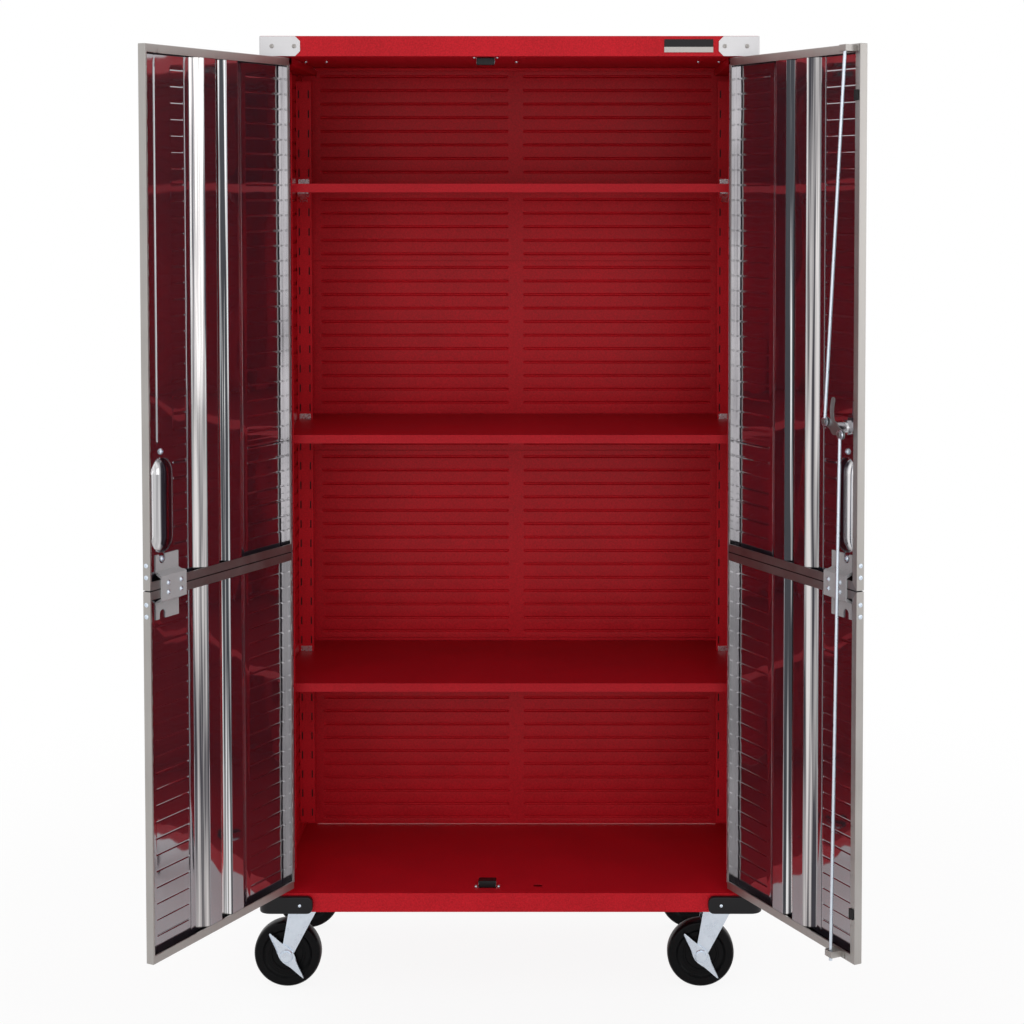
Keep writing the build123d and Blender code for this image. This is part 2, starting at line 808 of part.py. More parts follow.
with BuildPart() as lock_cam:
    with BuildSketch(door_face(1, -lock_flange)):
        with Locations((lock_at, lock_height)):
            Circle(plug_radius)
    extrude(amount=cam_face + lock_flange)
    with BuildSketch(door_face(1, cam_face)):
        with BuildLine(mode=Mode.PRIVATE) as finger:
            ThreePointArc(
                (lock_at, lock_height),
                (lock_at - finger_bow, lock_height + finger_length / 2),
                (lock_at - finger_bow / 2, lock_height + finger_length),
            )
        SlotArc(finger.line.edge(), finger_width)
        with Locations((lock_at, lock_height)):
            Circle(cam_hub)
            SlotCenterToCenter(2 * cam_radius, 2 * cam_ear, rotation=cam_rest)
    extrude(amount=cam_plate)
    with BuildSketch(door_face(1, cam_face + cam_plate)):
        with Locations(upper_eye, lower_eye):
            Circle(eye_pin_radius)
    extrude(amount=rod_face + eye_sheet / 2 + rod_gap - cam_face - cam_plate)
    with BuildSketch(door_face(1, rod_face + eye_sheet / 2 + rod_gap)):
        with Locations(upper_eye, lower_eye):
            Circle(eye_head_radius)
    extrude(amount=eye_head)
finish(lock_cam, "lock_cam")

rods = {
    "upper_rod": (upper_eye, upper_guide, upper_tip),
    "lower_rod": (lower_eye, lower_guide, lower_tip),
}
for name, (eye, guide, tip_height) in rods.items():
    start = Vector(*eye)
    tip = Vector(along_rod(eye, guide, tip_height), tip_height)
    start += (tip - start).normalized() * (eye_radius - 2)
    with BuildPart() as rod:
        with BuildLine(door_face(1, rod_face)) as path:
            Line((start.X, start.Y), (tip.X, tip.Y))
        with BuildSketch(Plane(origin=path.line @ 0, z_dir=path.line % 0)):
            Circle(rod_radius)
        sweep()
        with BuildSketch(door_face(1, rod_face - eye_sheet / 2)):
            with Locations(eye):
                Circle(eye_radius)
                Circle(eye_pin_radius + running_gap, mode=Mode.SUBTRACT)
        extrude(amount=eye_sheet)
    finish(rod, name)

caster_places = {
    "front_left": (-caster_across, caster_inset),
    "front_right": (caster_across, caster_inset),
    "rear_left": (-caster_across, body_depth - caster_inset),
    "rear_right": (caster_across, body_depth - caster_inset),
}
plate_top = floor_height - sheet - channel_height
race_bottom = plate_top - plate_thickness - race_height
crown_top = race_bottom - race_gap
crown_bottom = crown_top - crown_thickness

with BuildPart() as caster_plates:
    with BuildSketch(level(plate_top)):
        with Locations(*caster_places.values()):
            RectangleRounded(plate_length, plate_width, 8)
    extrude(amount=-plate_thickness)
    with BuildSketch(level(plate_top - plate_thickness)):
        with Locations(*caster_places.values()):
            Circle(race_radius)
    extrude(amount=-race_height)
    with BuildSketch(level(race_bottom)):
        with Locations(*caster_places.values()):
            Circle(kingpin_radius)
    extrude(amount=crown_bottom - race_gap - race_bottom)
    with BuildSketch(level(crown_bottom - race_gap)):
        with Locations(*caster_places.values()):
            Circle(kingpin_head_radius)
    extrude(amount=-kingpin_head)
finish(caster_plates, "caster_plates")

fork_outside = fork_gap / 2 + fork_sheet
tyre = (
    (axle_radius + running_gap, hub_width / 2),
    (hub_radius, hub_width / 2),
    (hub_radius + 2, wheel_width / 2 - 4),
    (wheel_radius - 19, wheel_width / 2 - 4),
    (wheel_radius - 16, wheel_width / 2),
    (wheel_radius - 4, wheel_width / 2),
    (wheel_radius, wheel_width / 2 - 5),
)
for name, (across, depth) in caster_places.items():
    wheel_across = across - trail
    with BuildPart() as fork:
        with BuildSketch(facing(depth, across)):
            with BuildLine():
                Polyline(
                    (-fork_top / 2, crown_top),
                    (fork_top / 2, crown_top),
                    (fork_eye - trail, wheel_radius),
                    (-fork_eye - trail, wheel_radius),
                    close=True,
                )
            make_face()
            with Locations((-trail, wheel_radius)):
                Circle(fork_eye)
        extrude(amount=fork_outside, both=True)
        with BuildSketch(facing(depth, across)):
            with Locations((0, crown_bottom / 2)):
                Rectangle(4 * fork_top, crown_bottom)
        extrude(amount=fork_gap / 2, both=True, mode=Mode.SUBTRACT)
        with BuildSketch(level(crown_bottom)):
            with Locations((across, depth)):
                Circle(crown_radius)
        extrude(amount=crown_thickness)
        with BuildSketch(level(crown_bottom)):
            with Locations((across, depth)):
                Circle(kingpin_radius + running_gap)
        extrude(amount=crown_thickness, mode=Mode.SUBTRACT)
        with BuildSketch(facing(depth, wheel_across)):
            with Locations((0, wheel_radius)):
                Circle(axle_radius)
        extrude(amount=fork_outside, both=True, mode=Mode.SUBTRACT)
    finish(fork, f"{name}_fork")

    hub = (wheel_across, front + depth, wheel_radius)
    with BuildPart() as wheel:
        with BuildSketch(Plane(origin=hub, x_dir=(0, 1, 0), z_dir=(1, 0, 0))):
            with BuildLine():
                Polyline(*[(w, r) for r, w in tyre], *[(-w, r) for r, w in reversed(tyre)], close=True)
            make_face()
        revolve(axis=Axis(hub, (0, 1, 0)))
    finish(wheel, f"{name}_wheel")

    braked = name.startswith("front")
    lever_depth = fork_outside + lever_gap
    head_start = lever_depth + lever_sheet + lever_gap if braked else fork_outside
    with BuildPart() as axle:
        with BuildSketch(facing(depth - head_start, wheel_across)):
            with Locations((0, wheel_radius)):
                Circle(axle_radius)
        extrude(amount=-head_start - fork_outside)
        with BuildSketch(facing(depth - head_start, wheel_across)):
            with Locations((0, wheel_radius)):
                Circle(axle_head_radius)
        extrude(amount=axle_head)
        with BuildSketch(facing(depth + fork_outside, wheel_across)):
            with Locations((0, wheel_radius)):
                RegularPolygon(axle_head_radius, 6)
        extrude(amount=-axle_head)
    finish(axle, f"{name}_axle")

    if braked:
        with BuildPart() as lever:
            with BuildSketch(facing(depth - lever_depth, wheel_across)):
                with Locations((0, wheel_radius)):
                    Circle(lever_hub)
                    Polygon(
                        (-lever_length / 2, -lever_end / 2),
                        (0, -lever_width / 2),
                        (lever_length / 2, -lever_end / 2),
                        (lever_length / 2, lever_end / 2),
                        (0, lever_width / 2),
                        (-lever_length / 2, lever_end / 2),
                        rotation=lever_angle,
                    )
                    Circle(axle_radius + running_gap, mode=Mode.SUBTRACT)
            extrude(amount=lever_sheet)
            with BuildSketch(facing(depth - lever_depth, wheel_across)):
                with Locations((0, wheel_radius)):
                    Rectangle(lever_length, lever_end, rotation=lever_angle)
                    Rectangle(
                        lever_length - 2 * lever_sheet,
                        lever_end,
                        rotation=lever_angle,
                        mode=Mode.SUBTRACT,
                    )
            extrude(amount=lever_tab)
        finish(lever, f"{name}_brake_lever")
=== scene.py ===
import bpy
import bmesh
import json
from math import cos, pi, radians, sin
from mathutils import Matrix, Vector


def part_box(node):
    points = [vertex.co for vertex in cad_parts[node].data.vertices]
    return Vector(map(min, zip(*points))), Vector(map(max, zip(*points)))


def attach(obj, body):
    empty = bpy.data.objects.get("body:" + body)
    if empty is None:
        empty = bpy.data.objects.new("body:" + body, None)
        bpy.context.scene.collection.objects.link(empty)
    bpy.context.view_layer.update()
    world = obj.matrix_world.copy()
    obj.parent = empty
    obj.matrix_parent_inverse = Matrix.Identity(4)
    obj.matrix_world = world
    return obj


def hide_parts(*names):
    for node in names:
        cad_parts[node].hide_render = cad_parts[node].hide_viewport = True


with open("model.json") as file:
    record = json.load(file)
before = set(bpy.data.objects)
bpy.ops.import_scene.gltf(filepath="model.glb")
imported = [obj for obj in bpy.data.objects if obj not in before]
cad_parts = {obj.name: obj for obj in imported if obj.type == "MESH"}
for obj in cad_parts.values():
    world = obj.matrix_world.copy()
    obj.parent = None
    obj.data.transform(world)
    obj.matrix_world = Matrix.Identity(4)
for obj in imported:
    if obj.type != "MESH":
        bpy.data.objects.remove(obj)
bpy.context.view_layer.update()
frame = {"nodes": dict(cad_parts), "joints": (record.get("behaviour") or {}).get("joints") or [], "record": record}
nodes = frame["nodes"]
joints = {joint["name"]: joint for joint in frame["joints"]}
scene = bpy.context.scene
print("frame loaded:", len(nodes), "nodes")


# an output of a shader node, so that mixes of them can be written as sums and products
class Wire:
    def __init__(self, tree, socket=None):
        self.tree = tree
        self.socket = socket

    def make(self, kind, settings=None, sockets=None, out=0):
        node = self.tree.nodes.new("ShaderNode" + kind)
        for name, value in (settings or {}).items():
            setattr(node, name, value)
        for name, value in (sockets or {}).items():
            if isinstance(value, Wire):
                self.tree.links.new(value.socket, node.inputs[name])
            else:
                node.inputs[name].default_value = value
        return Wire(self.tree, node.outputs[out] if node.outputs else None)

    def calc(self, operation, first, second):
        return self.make("Math", {"operation": operation}, {0: first, 1: second})

    def __add__(self, other):
        return self.calc("ADD", self, other)

    def __sub__(self, other):
        return self.calc("SUBTRACT", self, other)

    def __mul__(self, other):
        return self.calc("MULTIPLY", self, other)

    __radd__ = __add__


def newFinish(name, recipe, *look):
    finish = bpy.data.materials.new(name)
    finish.use_nodes = True
    finish.node_tree.nodes.clear()
    start = Wire(finish.node_tree)
    surface = recipe(start, start.make("TexCoord", out=3), *look)
    start.make("OutputMaterial", {}, {"Surface": surface})
    return finish


def grain(start, place, scale, detail=2.0, stretch=(1, 1, 1)):
    if stretch != (1, 1, 1):
        place = start.make("Mapping", {}, {"Vector": place, "Scale": stretch})
    return start.make("TexNoise", {}, {"Vector": place, "Scale": scale, "Detail": detail})


def blendTint(start, share, look):
    tints = {0: share, 6: (*look["dark"], 1), 7: (*look["light"], 1)}
    return start.make("Mix", {"data_type": "RGBA"}, tints, out=2)


coatMix = {"broadScale": 9.0, "fineTint": 1.2, "broadTint": 0.5, "tintDrop": 0.35, "fineRough": 0.2,
           "broadRough": 0.12}


def coated(start, place, look):
    fine = grain(start, place, look["grainScale"])
    broad = grain(start, place, coatMix["broadScale"], 3.0)
    bump = start.make("Bump", {}, {"Height": fine, "Strength": look["bump"], "Distance": look["depth"]})
    share = fine * coatMix["fineTint"] + broad * coatMix["broadTint"] - coatMix["tintDrop"]
    rough = look["roughness"] + (broad - 0.5) * coatMix["broadRough"] + (fine - 0.5) * coatMix["fineRough"]
    return start.make("BsdfPrincipled", {}, {
        "Base Color": blendTint(start, share, look),
        "Roughness": rough,
        "Normal": bump,
        "Specular IOR Level": look["gloss"],
    })


metalMix = {"lineTint": 0.4, "cloudTint": 0.6, "lineHeight": 0.0004}


def bareMetal(start, place, look):
    lines = grain(start, place, look["lineScale"], 3.0, look["stretch"])
    cloud = grain(start, place, look["cloudScale"], 2.0)
    bump = start.make("Bump", {}, {
        "Height": lines, "Strength": look["bump"], "Distance": metalMix["lineHeight"]})
    share = lines * metalMix["lineTint"] + cloud * metalMix["cloudTint"]
    rough = look["roughness"] + (lines - 0.5) * look["spread"] + (cloud - 0.5) * look["spread"]
    return start.make("BsdfPrincipled", {}, {
        "Base Color": blendTint(start, share, look),
        "Metallic": 1.0,
        "Roughness": rough,
        "Normal": bump,
    })


# thin mirror sheet: it waves a little, a faint coat hazes the reflection, and a small share of flat tinted colour
# paints a cast onto the reflection (violet on the door steel, for the reflected dark red interior)
def mirrorSheet(start, place, look):
    lines = grain(start, place, look["lineScale"], 3.0, look["stretch"])
    wave = grain(start, place, look["waveScale"], 1.0, (1, 1, 0.6))
    bump = start.make("Bump", {}, {"Height": wave, "Strength": 1.0, "Distance": look["waveHeight"]})
    share = (lines - look["middle"]) * look["contrast"] + 0.5
    sheet = start.make("BsdfPrincipled", {}, {
        "Base Color": blendTint(start, share, look),
        "Metallic": 1.0,
        "Roughness": look["roughness"] + (lines - 0.5) * look["spread"],
        "Normal": bump,
        "Coat Weight": look["haze"],
        "Coat Roughness": 0.55,
    })
    # painted reflection tint: a flat diffuse colour mixed in at a small share
    film = start.make("BsdfDiffuse", {}, {"Color": (*look["film"], 1)})
    return start.make("MixShader", {}, {0: look["filmShare"], 1: sheet, 2: film})


# dark and light are the two tints the grain moves between, scales are per metre
finishLooks = {
    "red_powder_coat": (coated, {
        "dark": (0.34, 0.003, 0.008), "light": (0.66, 0.010, 0.022), "grainScale": 360.0,
        "bump": 0.3, "depth": 0.001, "roughness": 0.42, "gloss": 0.16}),
    # painted shade: the shelves are the same red coat, darkened to stand for the shade that falls on them
    "shelf_coat_painted_shade": (coated, {
        "dark": (0.26, 0.002, 0.006), "light": (0.50, 0.008, 0.017), "grainScale": 360.0,
        "bump": 0.3, "depth": 0.001, "roughness": 0.42, "gloss": 0.14}),
    "black_plastic": (coated, {
        "dark": (0.003, 0.003, 0.004), "light": (0.009, 0.0085, 0.010), "grainScale": 1100.0,
        "bump": 0.18, "depth": 0.0004, "roughness": 0.32, "gloss": 0.28}),
    "black_tyre": (coated, {
        "dark": (0.002, 0.002, 0.0025), "light": (0.005, 0.005, 0.0055), "grainScale": 800.0,
        "bump": 0.15, "depth": 0.0004, "roughness": 0.3, "gloss": 0.1}),
    "black_rubber": (coated, {
        "dark": (0.006, 0.006, 0.006), "light": (0.016, 0.016, 0.016), "grainScale": 900.0,
        "bump": 0.25, "depth": 0.0004, "roughness": 0.6, "gloss": 0.3}),
    "stainless_door": (mirrorSheet, {
        "dark": (0.37, 0.355, 0.37), "light": (0.43, 0.41, 0.43), "lineScale": 60.0, "stretch": (1, 1, 0.03),
        "waveScale": 11.0, "waveHeight": 0.0022, "roughness": 0.05, "spread": 0.03, "middle": 0.5,
        "contrast": 1.0, "haze": 0.4, "film": (0.20, 0.12, 0.26), "filmShare": 0.03}),
    # painted reflection: the stiffener slopes are the door steel, and their near-black and white streaks paint in
    # reflected studio light
    "hat_painted_reflection": (mirrorSheet, {
        "dark": (0.05, 0.05, 0.058), "light": (0.80, 0.77, 0.76), "lineScale": 115.0,
        "stretch": (1, 1, 0.012), "waveScale": 7.0, "waveHeight": 0.0006, "roughness": 0.09, "spread": 0.06,
        "middle": 0.52, "contrast": 5.0, "haze": 0.3, "film": (0.20, 0.12, 0.26), "filmShare": 0.03}),
    # painted reflection: the stiffener groove is the same steel, streaked near-black to white to paint in
    # reflected light
    "groove_painted_reflection": (mirrorSheet, {
        "dark": (0.05, 0.052, 0.06), "light": (0.97, 0.97, 0.98), "lineScale": 170.0,
        "stretch": (1, 1, 0.006), "waveScale": 7.0, "waveHeight": 0.0006, "roughness": 0.1, "spread": 0.05,
        "middle": 0.52, "contrast": 7.0, "haze": 0.2, "film": (0.20, 0.18, 0.20), "filmShare": 0.02}),
    "seam_rail": (bareMetal, {
        "dark": (0.24, 0.235, 0.23), "light": (0.38, 0.375, 0.37), "lineScale": 160.0, "stretch": (1, 1, 1),
        "cloudScale": 25.0, "bump": 0.04, "roughness": 0.42, "spread": 0.14}),
    # painted reflection: the dish is the door steel, its near-black and light streaks paint in the reflected bands
    "dish_painted_reflection": (mirrorSheet, {
        "dark": (0.05, 0.045, 0.055), "light": (0.86, 0.85, 0.86), "lineScale": 48.0,
        "stretch": (1, 1, 0.02), "waveScale": 9.0, "waveHeight": 0.0004, "roughness": 0.08, "spread": 0.04,
        "middle": 0.54, "contrast": 5.0, "haze": 0.2, "film": (0.20, 0.12, 0.26), "filmShare": 0.02}),
    # painted reflection: the hinge-side wall is the door steel, tinted up to white with dark streaks to paint in
    # the reflected studio light
    "hinge_wall_painted_reflection": (bareMetal, {
        "dark": (0.10, 0.10, 0.11), "light": (1.0, 1.0, 1.0), "lineScale": 120.0, "stretch": (1, 1, 0.05),
        "cloudScale": 9.0, "bump": 0.02, "roughness": 0.1, "spread": 0.05}),
    "satin_flange": (bareMetal, {
        "dark": (0.36, 0.34, 0.325), "light": (0.50, 0.48, 0.46), "lineScale": 300.0,
        "stretch": (1, 1, 0.04), "cloudScale": 12.0, "bump": 0.05, "roughness": 0.4, "spread": 0.1}),
    "zinc_plate": (bareMetal, {
        "dark": (0.60, 0.67, 0.76), "light": (0.82, 0.89, 0.97), "lineScale": 140.0, "stretch": (1, 1, 1),
        "cloudScale": 60.0, "bump": 0.06, "roughness": 0.3, "spread": 0.16}),
    "chrome_steel": (bareMetal, {
        "dark": (0.66, 0.66, 0.67), "light": (0.80, 0.80, 0.81), "lineScale": 260.0, "stretch": (0.05, 1, 1),
        "cloudScale": 20.0, "bump": 0.03, "roughness": 0.18, "spread": 0.1}),
    "satin_bracket": (bareMetal, {
        "dark": (0.58, 0.575, 0.585), "light": (0.69, 0.68, 0.695), "lineScale": 240.0,
        "stretch": (0.05, 1, 1), "cloudScale": 15.0, "bump": 0.02, "roughness": 0.42, "spread": 0.08}),
    "grey_plate": (coated, {
        "dark": (0.33, 0.33, 0.34), "light": (0.43, 0.425, 0.435), "grainScale": 500.0,
        "bump": 0.1, "depth": 0.0004, "roughness": 0.34, "gloss": 0.8}),
    "zinc_clip": (bareMetal, {
        "dark": (0.72, 0.72, 0.76), "light": (0.94, 0.94, 0.97), "lineScale": 260.0, "stretch": (1, 1, 1),
        "cloudScale": 120.0, "bump": 0.08, "roughness": 0.28, "spread": 0.14}),
}
finishes = {name: newFinish(name, recipe, look) for name, (recipe, look) in finishLooks.items()}
slotOf = {part["node"]: part["material_slot"] for part in frame["record"]["subparts"]}
for node, slot in slotOf.items():
    for holder in nodes[node].material_slots:
        holder.material = finishes[slot]
print("finishes ready:", len(finishes))

# sizes in millimetres, y back from the front of the posts
cabinet = {
    "front": joints["left_door_hinge"]["pos_m"][1] * 1000,
    "hingeAcross": joints["right_door_hinge"]["pos_m"][0] * 1000,
    "capHalf": 457.0, "rail": -10.0, "rear": 406.0, "capBottom": 1756.0, "top": 1793.0, "floor": 197.0,
    "backInside": 393.6, "wallInside": 435.8,
}
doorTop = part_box("left_upper_door")[1].z * 1000
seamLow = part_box("left_lower_door")[1].z * 1000
handleMiddle = (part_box("left_handle")[0].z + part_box("left_handle")[1].z) * 500
toMetres = Matrix.Scale(0.001, 4)
cabinetPlace = toMetres @ Matrix.Translation((0, cabinet["front"], 0))
sideNames = {-1: "left", 1: "right"}


def doorPlace(side):
    turn = radians(doors["openAngle"])
    along = Vector((-side * cos(turn), -sin(turn), 0))
    inward = Vector((-side * sin(turn), cos(turn), 0))
    axes = Matrix((along, inward, (0, 0, 1))).transposed().to_4x4()
    return toMetres @ Matrix.Translation((side * cabinet["hingeAcross"], cabinet["front"], 0)) @ axes


# angles in degrees, weld in metres
edgeCare = {"rimSegments": 2, "rimAngle": 40.0, "flatWeight": 90, "weld": 0.000005, "flatAngle": 0.6,
            "softAngle": 40.0}


def finishPiece(name, bm, looks, body, place=toMetres, replaced=(), sharp=35.0, wall=0.0, soften=0.0):
    bmesh.ops.transform(bm, matrix=place, verts=bm.verts)
    if place.determinant() < 0:
        bmesh.ops.reverse_faces(bm, faces=bm.faces)
    for face in bm.faces:
        face.smooth = True
    for edge in bm.edges:
        if len(edge.link_faces) == 2 and edge.calc_face_angle(0) > radians(sharp):
            edge.smooth = False
    mesh = bpy.data.meshes.new(name)
    bm.to_mesh(mesh)
    bm.free()
    for look in looks:
        mesh.materials.append(finishes[look])
    piece = bpy.data.objects.new(name, mesh)
    scene.collection.objects.link(piece)
    if wall:
        shell = piece.modifiers.new("wall", "SOLIDIFY")
        shell.thickness = wall / 1000
        shell.offset = -1
    if soften:
        rim = piece.modifiers.new("rim", "BEVEL")
        rim.width = soften / 1000
        rim.segments = edgeCare["rimSegments"]
        rim.angle_limit = radians(edgeCare["rimAngle"])
    flats = piece.modifiers.new("flats", "WEIGHTED_NORMAL")
    flats.weight = edgeCare["flatWeight"]
    flats.keep_sharp = True
    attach(piece, body)
    if replaced:
        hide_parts(*replaced)


def sharpEdges(bm, angle, longer=0.0):
    bent = [edge for edge in bm.edges
            if len(edge.link_faces) == 2 and edge.calc_face_angle(0) > radians(angle)]
    return [edge for edge in bent if edge.calc_length() > longer]


# a part's own mesh with its longer sharp edges rounded
def softened(node, width, body, look=None, segments=2, longer=0.0):
    bm = bmesh.new()
    bm.from_mesh(nodes[node].data)
    bmesh.ops.remove_doubles(bm, verts=bm.verts, dist=edgeCare["weld"])
    bmesh.ops.dissolve_limit(bm, angle_limit=radians(edgeCare["flatAngle"]), verts=bm.verts, edges=bm.edges)
    bmesh.ops.bevel(bm, geom=sharpEdges(bm, edgeCare["softAngle"], longer / 1000), offset=width / 1000,
                    segments=segments, affect="EDGES", profile=0.5, material=-1, clamp_overlap=True)
    finishPiece(node + "_soft", bm, [look or slotOf[node]], body, Matrix(), [node])


def madeOf(made, kind):
    return [item for item in made["geom"] if isinstance(item, kind)]


def sheetGrid(bm, acrossLines, heightLines, lift):
    columns = len(acrossLines) - 1
    rows = len(heightLines) - 1
    for vert in bmesh.ops.create_grid(bm, x_segments=columns, y_segments=rows, size=1.0)["verts"]:
        across = acrossLines[round((vert.co.x + 1) / 2 * columns)]
        height = heightLines[round((vert.co.y + 1) / 2 * rows)]
        vert.co = (across, lift(across, height), height)


def foldEdges(bm, moves):
    rim = [edge for edge in bm.edges if len(edge.link_faces) == 1]
    for move in moves:
        made = bmesh.ops.extrude_edge_only(bm, edges=rim)
        for vert in madeOf(made, bmesh.types.BMVert):
            move(vert)
        rim = [edge for edge in madeOf(made, bmesh.types.BMEdge) if len(edge.link_faces) == 1]


def roundBends(bm, width, segments, angle):
    bmesh.ops.bevel(bm, geom=sharpEdges(bm, angle), offset=width, segments=segments, affect="EDGES",
                    profile=0.5, material=-1)


# a bent strip: the line of its section, drawn out along travel, with its outer side towards facing
def bentStrip(bm, line, travel, facing):
    chain = [bm.verts.new(point) for point in line]
    edges = [bm.edges.new(pair) for pair in zip(chain, chain[1:])]
    made = bmesh.ops.extrude_edge_only(bm, edges=edges)
    bmesh.ops.translate(bm, vec=travel, verts=madeOf(made, bmesh.types.BMVert))
    strip = madeOf(made, bmesh.types.BMFace)
    bmesh.ops.recalc_face_normals(bm, faces=strip)
    if sum((face.normal * face.calc_area() for face in strip), Vector()).dot(Vector(facing)) < 0:
        bmesh.ops.reverse_faces(bm, faces=strip)
    return strip


def turned(bm, profile, place, steps=16):
    before = set(bm.verts)
    chain = [bm.verts.new((reach, 0, height)) for reach, height in profile]
    edges = [bm.edges.new(pair) for pair in zip(chain, chain[1:])]
    bmesh.ops.spin(bm, geom=chain + edges, cent=(0, 0, 0), axis=(0, 0, 1), angle=2 * pi, steps=steps,
                   use_merge=True)
    made = [vert for vert in bm.verts if vert not in before]
    bmesh.ops.remove_doubles(bm, verts=made, dist=0.0001)
    made = [vert for vert in bm.verts if vert not in before]
    bmesh.ops.recalc_face_normals(bm, faces=list({face for vert in made for face in vert.link_faces}))
    bmesh.ops.transform(bm, matrix=place, verts=made)


def pointing(spot, direction):
    swing = Vector((0, 0, 1)).rotation_difference(Vector(direction))
    return Matrix.Translation(spot) @ swing.to_matrix().to_4x4()


# shares of the head's radius and height, from the middle of the socket to the underside
screwShape = ((0, 0.4), (0.30, 0.45), (0.40, 1.0), (0.72, 0.86), (0.95, 0.45), (1.0, 0), (0, 0))


def screwHead(bm, spot, direction, radius, height):
    turned(bm, [(radius * reach, height * rise) for reach, rise in screwShape], pointing(spot, direction))


ribShape = {"offsets": (-0.5, -0.36, -0.2, 0.0, 0.2, 0.36, 0.5),
            "depths": (0.0, 0.3, 0.88, 1.0, 0.88, 0.3, 0.0),
            "endSteps": (0.0, 1.2, 2.6, 5.0), "endDepths": (0.0, 0.5, 0.88, 1.0)}


def ribLines(centres, height):
    return [centre + offset * height for centre in centres for offset in ribShape["offsets"]]


def ribEnds(start, stop):
    steps = ribShape["endSteps"]
    return [start + step for step in steps] + [stop - step for step in reversed(steps)]


def ribDepth(across, height, centres, tall, spans):
    deep = 0.0
    for start, stop in spans:
        reach = min(across - start, stop - across)
        for step, share in zip(ribShape["endSteps"], ribShape["endDepths"]):
            if reach >= step - 0.01:
                deep = max(deep, share)
    place = min((height - centre for centre in centres), key=abs) / tall
    for offset, share in zip(ribShape["offsets"], ribShape["depths"]):
        if abs(place - offset) < 0.01:
            return deep * share
    return 0.0


backWall = {"panels": 4, "ribs": 14, "ribHeight": 6.5, "ribDepth": 3.4, "sheet": 1.0, "sideClear": 0.2,
            "spans": ((-400.0, -15.0), (15.0, 400.0)), "fold": 1.3, "gap": 1.6, "bend": 0.5, "lap": 10.0,
            "lapClear": 0.3}
panelTall = (cabinet["capBottom"] - cabinet["floor"]) / backWall["panels"]
backEdge = cabinet["wallInside"] - backWall["sideClear"]


def foldBack(vert):
    vert.co.y += backWall["fold"]


for number in range(backWall["panels"]):
    top = cabinet["capBottom"] - number * panelTall - backWall["gap"] / 2
    bottom = top - panelTall + backWall["gap"]
    pitch = panelTall / backWall["ribs"]
    centres = [bottom - backWall["gap"] / 2 + (index + 0.5) * pitch for index in range(backWall["ribs"])]
    across = [-backEdge] + [line for span in backWall["spans"] for line in ribEnds(*span)] + [backEdge]
    heights = [bottom] + ribLines(centres, backWall["ribHeight"]) + [top]
    bm = bmesh.new()
    sheetGrid(bm, across, heights, lambda a, h: cabinet["backInside"] + backWall["ribDepth"] * ribDepth(
        a, h, centres, backWall["ribHeight"], backWall["spans"]))
    foldEdges(bm, (foldBack,))
    roundBends(bm, backWall["bend"], 2, 60.0)
    finishPiece(f"back_sheet_{number + 1}", bm, ["red_powder_coat"], "cabinet",
                cabinetPlace, [f"back_panel_{number + 1}"], sharp=50.0, wall=backWall["sheet"])
# a lap closes each seam from behind
bm = bmesh.new()
behind = cabinet["backInside"] + backWall["fold"] + backWall["lapClear"]
for number in range(1, backWall["panels"]):
    low = cabinet["capBottom"] - number * panelTall - backWall["lap"]
    bentStrip(bm, [(-backEdge, behind, low), (backEdge, behind, low)], (0, 0, 2 * backWall["lap"]),
              (0, -1, 0))
finishPiece("back_laps", bm, ["red_powder_coat"], "cabinet", cabinetPlace,
            wall=backWall["sheet"])
print("back sheets pressed")

# grids are the step and the count of lines to each side of the dish, across and up
doors = {
    "openAngle": 117.0, "start": 3.5, "end": 413.0, "thick": 15.0, "sheet": 1.0, "top": doorTop,
    "bottom": 206.0, "seam": seamLow + 0.75, "seamGap": 1.5, "rail": 14.5, "hem": 2.5, "bend": 1.1,
    "hingeFlange": 4.0, "freeFlange": {-1: 5.0, 1: 13.0}, "lines": (124.0, 208.0, 293.0), "bow": 0.22,
    "ribPitch": 27.84, "ribHeight": 5.0, "ribDepth": 0.8, "ribSpans": ((9.0, 121.0), (296.0, 386.0)),
    "ribMargin": 12.0, "ribStop": 332.0, "ribClear": 118.0,
    "handleAt": 365.0, "handleHeight": handleMiddle,
    "dishAt": 362.0, "dishHalf": (28.0, 80.0), "dishDepth": 10.0, "dishCurve": (2.1, 0.72),
    "dishGrids": ((1.4, 21), (1.8, 46)), "dishEdge": 0.4,
    "bead": 373.0, "beadSpan": (107.0, 752.0), "beadRise": 1.3, "beadLines": (-1.2, -0.5, 0.5, 1.2),
    "beadEnds": (-1.5, 1.5),
}
doorHalves = {"lower": (doors["bottom"], doors["seam"] - doors["seamGap"] / 2),
              "upper": (doors["seam"] + doors["seamGap"] / 2, doors["top"])}
panLooks = ["stainless_door", "satin_flange", "hinge_wall_painted_reflection", "seam_rail", "dish_painted_reflection"]


# long round-ended dish behind the handle
def dishLift(across, height):
    wide, tall = doors["dishHalf"]
    floor, brim = doors["dishCurve"]
    rise = max(0.0, abs(height - doors["handleHeight"]) - (tall - wide))
    reach = Vector((across - doors["dishAt"], rise)).length / wide
    return doors["dishDepth"] * max(0.0, 1 - reach ** floor) ** brim


def closeLines(middle, step, count):
    return [middle + index * step for index in range(-count, count + 1)]


def raiseWall(vert):
    vert.co.y = doors["thick"]


def hemDown(vert):
    vert.co.y -= doors["hem"]


